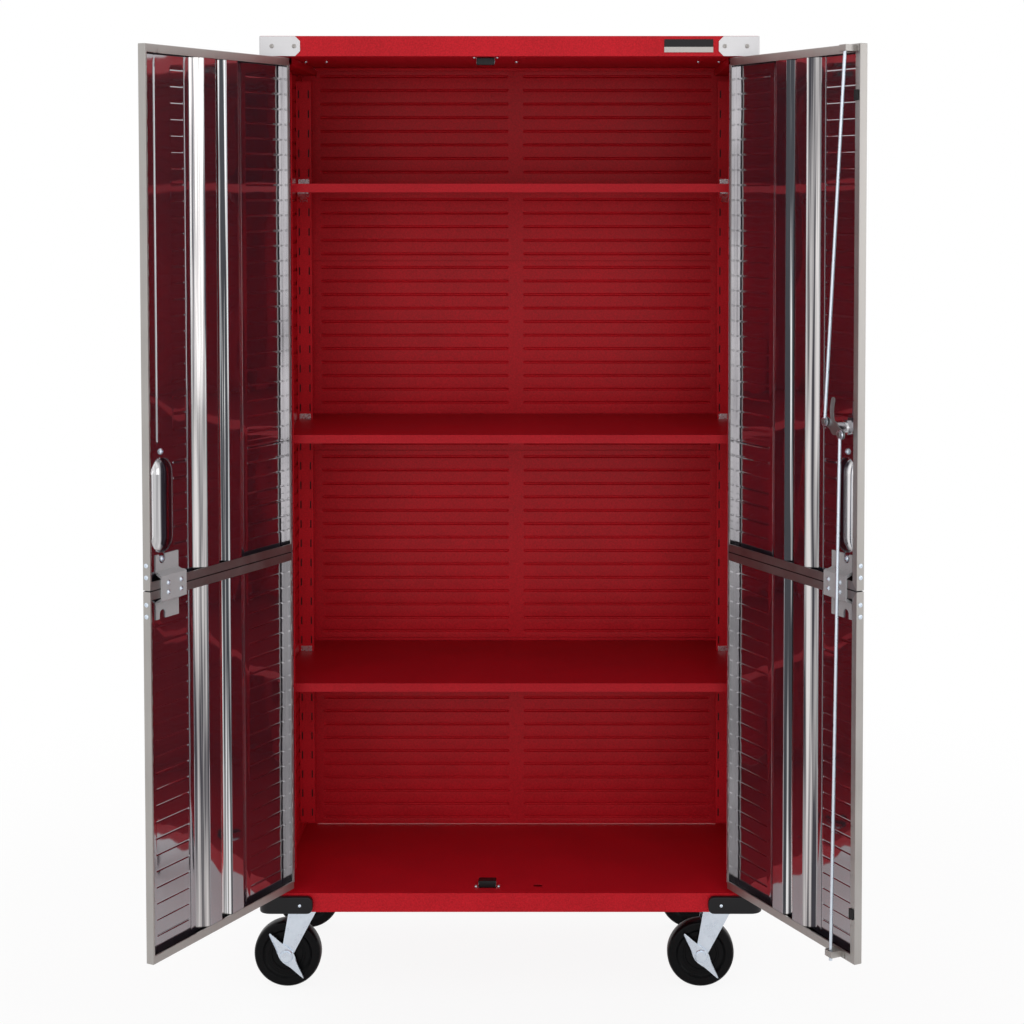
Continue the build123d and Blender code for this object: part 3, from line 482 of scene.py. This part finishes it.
for side, sideName in sideNames.items():
    for half, (bottom, top) in doorHalves.items():
        count = int((top - bottom - 2 * doors["rail"] - doors["ribMargin"]) / doors["ribPitch"])
        first = (bottom + top) / 2 - (count - 1) / 2 * doors["ribPitch"]
        centres = [first + index * doors["ribPitch"] for index in range(count)]
        across = [doors["start"], *doors["lines"], doors["end"]]
        for span in doors["ribSpans"]:
            across += ribEnds(*span)
        middles = [round(centre + doors["ribPitch"] / 2, 2) for centre in centres[:-1]]
        heights = [bottom, top] + middles + ribLines(centres, doors["ribHeight"])
        if half == "upper":
            across += ribEnds(doors["ribSpans"][1][0], doors["ribStop"])
            across += closeLines(doors["dishAt"], *doors["dishGrids"][0])
            across += [doors["bead"] + offset for offset in doors["beadLines"]]
            for rise in doors["beadSpan"]:
                heights += [doors["handleHeight"] + rise + step for step in doors["beadEnds"]]
            heights += closeLines(doors["handleHeight"], *doors["dishGrids"][1])
        across = sorted(set(round(line, 2) for line in across))
        heights = sorted(set(round(line, 2) for line in heights))

        def pressed(a, h):
            nearHandle = half == "upper" and (side < 0 or abs(h - doors["handleHeight"]) < doors["ribClear"])
            ribEnd = doors["ribStop"] if nearHandle else doors["ribSpans"][1][1]
            spans = (doors["ribSpans"][0], (doors["ribSpans"][1][0], ribEnd))
            lift = -doors["ribDepth"] * ribDepth(a, h, centres, doors["ribHeight"], spans)
            if h in middles and any(start < a < stop for start, stop in spans):
                lift -= doors["bow"]
            if half == "upper":
                lift += dishLift(a, h)
                onBead = doors["beadSpan"][0] < h - doors["handleHeight"] < doors["beadSpan"][1]
                if side < 0 and onBead and abs(a - doors["bead"]) < 0.6:
                    lift += doors["beadRise"]
            return lift

        def turnIn(vert):
            if abs(vert.co.x - doors["start"]) < 0.01:
                vert.co.x += doors["hingeFlange"]
            if abs(vert.co.x - doors["end"]) < 0.01:
                vert.co.x -= doors["freeFlange"][side]
            if abs(vert.co.z - bottom) < 0.01:
                vert.co.z += doors["rail"]
            if abs(vert.co.z - top) < 0.01:
                vert.co.z -= doors["rail"]

        bm = bmesh.new()
        sheetGrid(bm, across, heights, pressed)
        foldEdges(bm, (raiseWall, turnIn, hemDown))
        for face in bm.faces:
            depth = min(vert.co.y for vert in face.verts)
            middle = face.calc_center_median()
            look = "stainless_door"
            if depth > doors["thick"] - doors["hem"] - 0.1 or middle.x > doors["end"] - 0.1:
                nearSeam = abs(middle.z - doors["seam"]) < doors["rail"] + 2
                look = "seam_rail" if nearSeam else "satin_flange"
            # the hinge-side wall takes a lit copy of the door steel: painted reflection
            elif middle.x < doors["start"] + 0.1:
                look = "hinge_wall_painted_reflection"
            # the dish takes the steel with painted reflection streaks
            elif half == "upper" and dishLift(middle.x, middle.z) > doors["dishEdge"]:
                look = "dish_painted_reflection"
            face.material_index = panLooks.index(look)
        roundBends(bm, doors["bend"], 2, 60.0)
        finishPiece(f"{sideName}_{half}_pan", bm, panLooks, f"{sideName}_door",
                    doorPlace(side), [f"{sideName}_{half}_door"], sharp=40.0, wall=doors["sheet"])
print("door pans pressed")

# ridge is half the section, from the groove in the middle to the foot: distance from the middle, depth
stiffener = {"middle": 208.25, "ridge": ((4.0, 5.0), (15.0, 15.0), (48.5, 15.0), (73.5, 2.0), (85.5, 2.0)),
             "gap": 0.5, "bend": 1.6, "sheet": 0.9, "groove": 15.0, "slope": (50.0, 72.0)}
hatLooks = ["stainless_door", "hat_painted_reflection", "groove_painted_reflection"]
for side, sideName in sideNames.items():
    bm = bmesh.new()
    section = [(-a, d) for a, d in reversed(stiffener["ridge"])] + list(stiffener["ridge"])
    for bottom, top in doorHalves.values():
        low = bottom + doors["rail"] + stiffener["gap"]
        tall = top - bottom - 2 * (doors["rail"] + stiffener["gap"])
        bentStrip(bm, [(stiffener["middle"] + a, d, low) for a, d in section], (0, 0, tall), (0, 1, 0))
    # the slopes and the groove take the painted-reflection streaks, the rest is plain door steel
    for face in bm.faces:
        reach = abs(face.calc_center_median().x - stiffener["middle"])
        look = "stainless_door"
        if reach < stiffener["groove"]:
            look = "groove_painted_reflection"
        elif stiffener["slope"][0] < reach < stiffener["slope"][1]:
            look = "hat_painted_reflection"
        face.material_index = hatLooks.index(look)
    roundBends(bm, stiffener["bend"], 3, 15.0)
    finishPiece(f"{sideName}_hats", bm, hatLooks, f"{sideName}_door", doorPlace(side),
                [f"{sideName}_stiffeners"], sharp=40.0, wall=stiffener["sheet"])
print("stiffeners bent")

# u from the hinge, v inwards, z, then the way each head points, its radius and its height
doorScrews = {
    "plate": ([(u, 17.0, doors["seam"] + rise) for u in (333.0, 367.0) for rise in (-8.0, 8.0)],
              (0, 1, 0), 4.4, 2.2),
    "edge": ([(doors["end"], 7.5, doors["seam"] + rise) for rise in (-43.0, -23.0, 23.0, 43.0)],
             (1, 0, 0), 4.2, 1.8),
    "handle": ([(doors["handleAt"], 1.0, doors["handleHeight"] + rise) for rise in (-91.0, 91.0)],
               (0, 1, 0), 5.6, 3.8),
}
handleFoot = {"profile": ((5.6, 3.5), (7.7, 3.5), (10.12, 2.45), (11.0, 0.875), (11.0, 0), (5.6, 0),
                          (5.6, 3.5)), "steps": 32}
for side, sideName in sideNames.items():
    body = f"{sideName}_door"
    bm = bmesh.new()
    for spots, direction, radius, height in doorScrews.values():
        for spot in spots:
            screwHead(bm, spot, direction, radius, height)
    finishPiece(f"{sideName}_door_screw_heads", bm, ["zinc_plate"], body, doorPlace(side),
                [f"{sideName}_door_screws"], sharp=30.0)
    bm = bmesh.new()
    for u, v, height in doorScrews["handle"][0]:
        turned(bm, handleFoot["profile"], pointing((u, 0, height), (0, -1, 0)), handleFoot["steps"])
    finishPiece(f"{sideName}_handle_feet", bm, ["chrome_steel"], body, doorPlace(side))
    softened(f"{sideName}_seam_bracket", 0.6, body, "grey_plate")
# black angle strip that closes the gap between the two halves of a door: painted shade for the dark gap line
seamShade = {"start": 4.6, "long": 407.0, "inner": 13.6, "outer": 0.9, "rise": 0.45, "sheet": 0.3}
for side, sideName in sideNames.items():
    bm = bmesh.new()
    low = doors["seam"] - seamShade["rise"]
    high = doors["seam"] + seamShade["rise"]
    section = ((seamShade["inner"], high), (seamShade["inner"], low), (seamShade["outer"], low))
    bentStrip(bm, [(seamShade["start"], v, height) for v, height in section],
              (seamShade["long"], 0, 0), (0, 0, 1))
    finishPiece(f"{sideName}_seam_painted_shade", bm, ["black_rubber"], f"{sideName}_door",
                doorPlace(side), wall=seamShade["sheet"])
softened("door_bumpers", 0.9, "right_door")
softened("rod_guides", 0.5, "right_door", "satin_flange")
softened("lock_cam", 0.4, "lock", "seam_rail")
print("door fittings set")

keyway = {"u": 361.0, "height": joints["lock_turn"]["pos_m"][2] * 1000, "face": -3.0, "lift": 0.05,
          "ring": ((5.3, 0.9), (7.6, 0.9), (8.6, 0.5), (9.0, 0), (5.3, 0), (5.3, 0.9)), "steps": 40,
          "slot": (0.8, 3.4), "sheet": 0.2}
bm = bmesh.new()
ringPlace = pointing((keyway["u"], keyway["face"], keyway["height"]), (0, -1, 0))
turned(bm, keyway["ring"], ringPlace, keyway["steps"])
finishPiece("lock_ring", bm, ["chrome_steel"], "right_door", doorPlace(1))
# a flat black oval on the lock face: painted shade standing in for the dark keyway
bm = bmesh.new()
slotWide, slotTall = keyway["slot"]
made = bmesh.ops.create_circle(bm, cap_ends=True, segments=20, radius=slotTall)["verts"]
bmesh.ops.scale(bm, vec=(slotWide / slotTall, 1, 1), verts=made)
slotPlace = pointing((keyway["u"], keyway["face"] - keyway["lift"], keyway["height"]), (0, -1, 0))
bmesh.ops.transform(bm, matrix=slotPlace, verts=bm.verts)
finishPiece("key_slot_painted_shade", bm, ["black_rubber"], "lock", doorPlace(1), wall=keyway["sheet"])
print("lock face set")

# the shelves take the darker copy of the red coat, which paints in their shade
for node, width, look in (("top_cap", 1.6, "red_powder_coat"), ("base_tray", 1.4, "red_powder_coat"),
                          ("upper_shelf", 1.2, "shelf_coat_painted_shade"), ("middle_shelf", 1.2, "shelf_coat_painted_shade"),
                          ("lower_shelf", 1.2, "shelf_coat_painted_shade")):
    softened(node, width, "cabinet", look)
for node in ("front_left_post", "front_right_post", "rear_left_post", "rear_right_post"):
    softened(node, 0.55, "cabinet", longer=200.0)
for node in ("left_side_panel", "right_side_panel"):
    softened(node, 0.55, "cabinet", longer=400.0)
# black strips behind the slots of the posts: painted shade for the dark cavity seen through the slots
postSlotShade = {"fronts": (30.0, 300.0), "lead": 3.2, "behind": 5.0, "inner": 407.6, "slant": 1.5,
               "clear": 2.0, "low": 233.0, "high": 1725.0, "sheet": 0.6}
bm = bmesh.new()
for side in sideNames:
    for front in postSlotShade["fronts"]:
        section = ((postSlotShade["inner"], front + postSlotShade["lead"]),
                   (postSlotShade["inner"] + postSlotShade["slant"], front + postSlotShade["behind"]),
                   (cabinet["wallInside"] - postSlotShade["clear"], front + postSlotShade["behind"]))
        bentStrip(bm, [(side * across, depth, postSlotShade["low"]) for across, depth in section],
                  (0, 0, postSlotShade["high"] - postSlotShade["low"]), (0, -1, 0))
finishPiece("post_slot_painted_shade", bm, ["black_rubber"], "cabinet", cabinetPlace,
            wall=postSlotShade["sheet"])
softened("shelf_clips", 0.45, "cabinet", "zinc_clip")
softened("ceiling_panel", 0.6, "cabinet")
print("sheet edges softened")

# the channel under each side of the roof, the small hem at its back, and the roof screws
roof = {"channelAcross": 405.5, "channelDrop": 13.0, "start": 34.0, "stop": 392.0, "wallClear": 1.0,
        "tuck": 1.0, "hem": 4.5, "hemDepth": 352.0, "hemWide": 6.0, "hemClear": 2.0, "sheet": 1.0,
        "bend": 0.8, "screws": (-398.0, -358.0, 8.0, 358.0, 398.0), "screwDepth": 168.0, "screwRadius": 4.0,
        "screwHeight": 2.4, "screwSink": 1.5}
bm = bmesh.new()
tucked = cabinet["capBottom"] + roof["tuck"]
low = cabinet["capBottom"] - roof["channelDrop"]
for side in sideNames:
    section = ((roof["channelAcross"], tucked), (roof["channelAcross"], low),
               (cabinet["wallInside"] - roof["wallClear"], low))
    bentStrip(bm, [(side * across, roof["start"], height) for across, height in section],
              (0, roof["stop"] - roof["start"], 0), (-side, 0, -1))
span = roof["channelAcross"] - roof["hemClear"]
low = cabinet["capBottom"] - roof["hem"]
section = ((roof["hemDepth"], tucked), (roof["hemDepth"], low), (roof["hemDepth"] + roof["hemWide"], low))
bentStrip(bm, [(-span, depth, height) for depth, height in section], (2 * span, 0, 0), (0, -1, -1))
roundBends(bm, roof["bend"], 2, 40.0)
finishPiece("roof_channels", bm, ["red_powder_coat"], "cabinet", cabinetPlace, sharp=40.0,
            wall=roof["sheet"])
bm = bmesh.new()
for across in roof["screws"]:
    screwHead(bm, (across, roof["screwDepth"], cabinet["capBottom"] + roof["screwSink"]), (0, 0, -1),
              roof["screwRadius"], roof["screwHeight"])
finishPiece("roof_screws", bm, ["zinc_plate"], "cabinet", cabinetPlace)
print("roof fitted")

cornerPlate = {"leg": 73.0, "sideLeg": 46.0, "sheet": 2.0, "chamfer": 9.0, "bend": 2.6, "clear": 0.5,
               "rim": 0.4, "screws": (21.0, 62.0), "screwRadius": 4.2, "screwHeight": 1.8}
plates = bmesh.new()
heads = bmesh.new()
for side in sideNames:
    for depth, way in ((cabinet["rail"], -1), (cabinet["rear"], 1)):
        outer = depth + way * cornerPlate["sheet"]
        corner = side * (cabinet["capHalf"] + cornerPlate["sheet"])
        inner = side * (cabinet["capHalf"] - cornerPlate["leg"])
        tall = cabinet["top"] - cabinet["capBottom"] - cornerPlate["clear"]
        outline = ((inner, outer), (corner, outer), (corner, depth - way * cornerPlate["sideLeg"]))
        strip = bentStrip(plates, [(x, y, cabinet["capBottom"]) for x, y in outline], (0, 0, tall),
                          (side, way, 0))
        ends = {vert for face in strip for vert in face.verts if abs(vert.co.x - inner) < 0.01}
        bmesh.ops.bevel(plates, geom=list(ends), offset=cornerPlate["chamfer"], segments=1,
                        affect="VERTICES", profile=0.5, material=-1)
        for distance in cornerPlate["screws"]:
            spot = (side * (cabinet["capHalf"] - distance), outer, cabinet["capBottom"] + tall / 2)
            screwHead(heads, spot, (0, way, 0), cornerPlate["screwRadius"], cornerPlate["screwHeight"])
roundBends(plates, cornerPlate["bend"], 4, 60.0)
finishPiece("corner_plates", plates, ["satin_bracket"], "cabinet", cabinetPlace,
            ["corner_brackets"], sharp=40.0, wall=cornerPlate["sheet"], soften=cornerPlate["rim"])
finishPiece("corner_plate_screws", heads, ["satin_flange"], "cabinet", cabinetPlace,
            ["corner_bracket_screws"], sharp=30.0)
print("corner plates bent")

bumper = {"leg": 88.0, "thick": 13.0, "low": 161.5, "tall": 32.0, "corner": 20.0, "end": 11.0, "step": 1.2,
          "inset": 4.5, "rim": 2.2, "backClear": 0.05, "screw": 24.0, "screwSink": 0.3, "screwRadius": 3.0,
          "screwHeight": 1.2}
blocks = bmesh.new()
heads = bmesh.new()
for side in sideNames:
    for depth, way in ((cabinet["rail"], -1), (cabinet["rear"], 1)):
        outer = depth + way * (bumper["thick"] - bumper["step"])
        corner = side * (cabinet["capHalf"] + bumper["thick"] - bumper["step"])
        inner = side * (cabinet["capHalf"] - bumper["leg"])
        outline = ((inner, outer), (corner, outer), (corner, depth - way * bumper["leg"]))
        strip = bentStrip(blocks, [(x, y, bumper["low"]) for x, y in outline], (0, 0, bumper["tall"]),
                          (side, way, 0))
        ends = {vert for face in strip for vert in face.verts
                if abs(vert.co.x - corner) > 0.1 or abs(vert.co.y - outer) > 0.1}
        bmesh.ops.bevel(blocks, geom=list(ends), offset=bumper["end"], segments=5, affect="VERTICES",
                        profile=0.5, material=-1)
        spot = (inner + side * bumper["screw"], depth + way * (bumper["thick"] - bumper["screwSink"]),
                bumper["low"] + bumper["tall"] / 2)
        screwHead(heads, spot, (0, way, 0), bumper["screwRadius"], bumper["screwHeight"])
roundBends(blocks, bumper["corner"], 8, 60.0)
bmesh.ops.inset_region(blocks, faces=blocks.faces, thickness=bumper["inset"], depth=bumper["step"],
                       use_even_offset=True)
finishPiece("bumper_blocks", blocks, ["black_plastic"], "cabinet", cabinetPlace,
            ["corner_bumpers"], sharp=40.0, wall=bumper["thick"] - bumper["step"] - bumper["backClear"],
            soften=bumper["rim"])
finishPiece("bumper_screws", heads, ["zinc_plate"], "cabinet", cabinetPlace)
print("bumpers moulded")

catch = {"across": -45.0, "half": 17.0, "ear": 8.0, "front": 15.6, "lead": 1.5, "depth": 18.0, "drop": 13.0,
         "clear": 0.1, "sheet": 1.2, "bend": 0.8, "screwShare": 0.55, "screwBack": 10.0, "screwLift": 0.2,
         "screwRadius": 2.8, "screwHeight": 1.6}
bm = bmesh.new()
heads = bmesh.new()
for height, way in ((cabinet["capBottom"] - catch["clear"], -1), (cabinet["floor"] + catch["clear"], 1)):
    section = ((-catch["half"] - catch["ear"], 0), (-catch["half"], 0), (-catch["half"], catch["drop"]))
    for turn in (-1, 1):
        front = catch["front"] + catch["lead"]
        bentStrip(bm, [(catch["across"] - turn * a, front, height + way * d) for a, d in section],
                  (0, catch["depth"], 0), (turn, 0, way))
        spot = (catch["across"] + turn * (catch["half"] + catch["ear"] * catch["screwShare"]),
                catch["front"] + catch["screwBack"], height + way * catch["screwLift"])
        screwHead(heads, spot, (0, 0, way), catch["screwRadius"], catch["screwHeight"])
roundBends(bm, catch["bend"], 2, 50.0)
finishPiece("catch_straps", bm, ["chrome_steel"], "cabinet", cabinetPlace,
            ["catch_brackets"], sharp=40.0, wall=catch["sheet"])
finishPiece("catch_screws", heads, ["zinc_plate"], "cabinet", cabinetPlace)
softened("catch_magnets", 0.8, "cabinet")
print("catches set")

# a bare two-tone plate on the roof rail
railPlate = {"left": 284.0, "right": 374.0, "low": 1763.0, "high": 1787.0, "band": 10.0, "thick": 1.0,
             "clear": 0.02, "rim": 0.25}
bm = bmesh.new()
seamLine = railPlate["low"] + railPlate["band"]
front = cabinet["rail"] - railPlate["thick"]
for low, high in ((railPlate["low"], seamLine), (seamLine, railPlate["high"])):
    bentStrip(bm, [(across, front, low) for across in (railPlate["left"], railPlate["right"])],
              (0, 0, high - low), (0, -1, 0))
for face in bm.faces:
    face.material_index = 1 if face.calc_center_median().z > seamLine else 0
finishPiece("rail_plate", bm, ["satin_flange", "black_plastic"], "cabinet", cabinetPlace,
            wall=railPlate["thick"] - railPlate["clear"], soften=railPlate["rim"])
print("rail plate set")

# leaf-shaped brake lever: half outline from the hub to a tip, drawn on both arms
leaf = {"outline": ((0.0, 14.0), (7.0, 13.2), (14.0, 11.0), (22.0, 8.0), (33.0, 5.6), (44.0, 3.4),
                    (53.0, 1.2)),
        "angle": -53.0, "sheet": 2.5, "rim": 0.6, "lip": 4.5, "lipSink": 0.5, "lipSheet": 1.0, "steps": 32,
        "boss": ((0, 4.0), (5.0, 4.0), (6.2, 3.0), (8.4, 3.0), (9.6, 4.2), (11.4, 4.0), (12.6, 2.4),
                 (0, 2.4), (0, 4.0))}


def leafLever(name, hub):
    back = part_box(f"{name}_brake_lever")[1].y * 1000
    lean = Matrix.Rotation(radians(-leaf["angle"]), 4, "Y")
    place = toMetres @ Matrix.Translation((hub.x, back, hub.z)) @ lean
    upper = list(leaf["outline"])
    ring = [(-s, t) for s, t in reversed(upper[1:])] + upper
    bm = bmesh.new()
    bm.faces.new([bm.verts.new((s, 0, t)) for s, t in ring] + [bm.verts.new((-s, 0, -t)) for s, t in ring])
    made = bmesh.ops.extrude_face_region(bm, geom=list(bm.faces))
    bmesh.ops.translate(bm, vec=(0, -leaf["sheet"], 0), verts=madeOf(made, bmesh.types.BMVert))
    bmesh.ops.recalc_face_normals(bm, faces=bm.faces)
    roundBends(bm, leaf["rim"], 2, 60.0)
    turned(bm, leaf["boss"], pointing((0, 0, 0), (0, -1, 0)), leaf["steps"])
    finishPiece(f"{name}_leaf", bm, ["zinc_plate"], f"{name}_brake", place,
                [f"{name}_brake_lever"], sharp=40.0)
    bm = bmesh.new()
    for turn in (-1, 1):
        bentStrip(bm, [(turn * s, -leaf["lipSink"], turn * t) for s, t in upper[2:]],
                  (0, -leaf["lip"], 0), (turn, 0, turn))
    finishPiece(f"{name}_leaf_lips", bm, ["zinc_plate"], f"{name}_brake", place, sharp=40.0,
                wall=leaf["lipSheet"])


# half section of a wheel, radius and half width, from the bore to the middle of the tread
tread = {"profile": ((5.1, 18.0), (13.0, 18.0), (15.0, 17.2), (16.5, 12.5), (29.0, 11.5), (30.0, 12.6),
                     (33.0, 12.6), (34.0, 11.5), (42.0, 11.0), (44.0, 12.0), (47.0, 15.6), (49.5, 16.0),
                     (57.5, 16.0), (60.0, 15.2), (62.2, 12.5), (63.2, 8.0), (63.45, 0.0)), "steps": 80}
for name in ("front_left", "front_right", "rear_left", "rear_right"):
    hub = Vector(joints[f"{name}_roll"]["pos_m"]) * 1000
    bm = bmesh.new()
    profile = list(tread["profile"]) + [(r, -w) for r, w in reversed(tread["profile"][:-1])]
    turned(bm, profile + [profile[0]], pointing(hub, (0, -1, 0)), tread["steps"])
    finishPiece(f"{name}_tyre", bm, ["black_tyre"], f"{name}_wheel", toMetres,
                [f"{name}_wheel"], sharp=30.0)
    softened(f"{name}_fork", 1.0, f"{name}_caster")
    softened(f"{name}_axle", 1.0, f"{name}_caster", segments=3)
    if name.startswith("front"):
        leafLever(name, hub)
softened("caster_plates", 0.8, "cabinet")
print("casters finished")

# each light has its place, its size across and up, and its power in watts
studio = {"floorSize": 60.0, "floorTint": (0.86, 0.86, 0.86), "whiteShare": 0.9, "fadeStart": 0.9,
          "fadeStop": 2.4, "glossShare": 0.35, "skyLevel": 0.94,
          "lights": (("front_strip", (0.1, -4.2, 1.25), (0.7, 2.3), 5.0),
                     ("right_strip", (1.45, -4.1, 1.3), (0.8, 2.3), 5.6),
                     ("left_strip", (-1.75, -4.1, 1.3), (0.8, 2.3), 5.6),
                     ("side_box", (4.2, -2.2, 1.6), (1.4, 2.0), 12.0))}
bm = bmesh.new()
bmesh.ops.create_grid(bm, x_segments=4, y_segments=4, size=studio["floorSize"] / 2)
mesh = bpy.data.meshes.new("studio_floor")
bm.to_mesh(mesh)
bm.free()
studioFloor = bpy.data.objects.new("studio_floor", mesh)
scene.collection.objects.link(studioFloor)


# white to the camera away from the object, a dull grey that takes the shadow close to it
def paleFloor(start, place):
    seen = start.make("LightPath", out=0)
    mirrored = start.make("LightPath", out=3)
    reach = start.make("VectorMath", {"operation": "LENGTH"}, {0: place}, out=1)
    away = start.make("MapRange", {"interpolation_type": "SMOOTHSTEP"}, {
        "Value": reach, "From Min": studio["fadeStart"], "From Max": studio["fadeStop"],
        "To Min": studio["whiteShare"], "To Max": 1.0})
    dull = start.make("BsdfDiffuse", {}, {"Color": (*studio["floorTint"], 1)})
    white = start.make("Emission", {}, {"Strength": 1.0})
    return start.make("MixShader", {}, {0: seen * away + mirrored * studio["glossShare"], 1: dull, 2: white})


mesh.materials.append(newFinish("pale_floor", paleFloor))

world = bpy.data.worlds.new("studio")
scene.world = world
world.use_nodes = True
world.node_tree.nodes.clear()
sky = Wire(world.node_tree)
seen = sky.calc("MAXIMUM", sky.make("LightPath", out=0), sky.make("LightPath", out=3))
soft = sky.make("Background", {}, {"Color": (1, 1, 1, 1), "Strength": studio["skyLevel"]})
white = sky.make("Background", {}, {"Color": (1, 1, 1, 1), "Strength": 1.0})
sky.make("OutputWorld", {}, {"Surface": sky.make("MixShader", {}, {0: seen, 1: soft, 2: white})})

for name, spot, size, power in studio["lights"]:
    lamp = bpy.data.lights.new(name, "AREA")
    lamp.shape = "RECTANGLE"
    lamp.size, lamp.size_y = size
    lamp.energy = power
    holder = bpy.data.objects.new(name, lamp)
    holder.location = spot
    holder.rotation_euler = (Vector((0, 0, spot[2])) - Vector(spot)).to_track_quat("-Z", "Y").to_euler()
    scene.collection.objects.link(holder)

shot = {"place": (0.1129, -3.6475, 1.5092), "pitch": 2.53, "lens": 68.98, "sensor": 36.0,
        "shift": (-0.0576, -0.2290), "far": 100.0}
lens = bpy.data.cameras.new("shot")
lens.lens = shot["lens"]
lens.sensor_width = shot["sensor"]
lens.shift_x, lens.shift_y = shot["shift"]
lens.clip_end = shot["far"]
camera = bpy.data.objects.new("shot", lens)
camera.location = shot["place"]
camera.rotation_euler = (radians(90 - shot["pitch"]), 0, 0)
scene.collection.objects.link(camera)
scene.camera = camera
scene.view_settings.view_transform = "Standard"
print("studio lit")
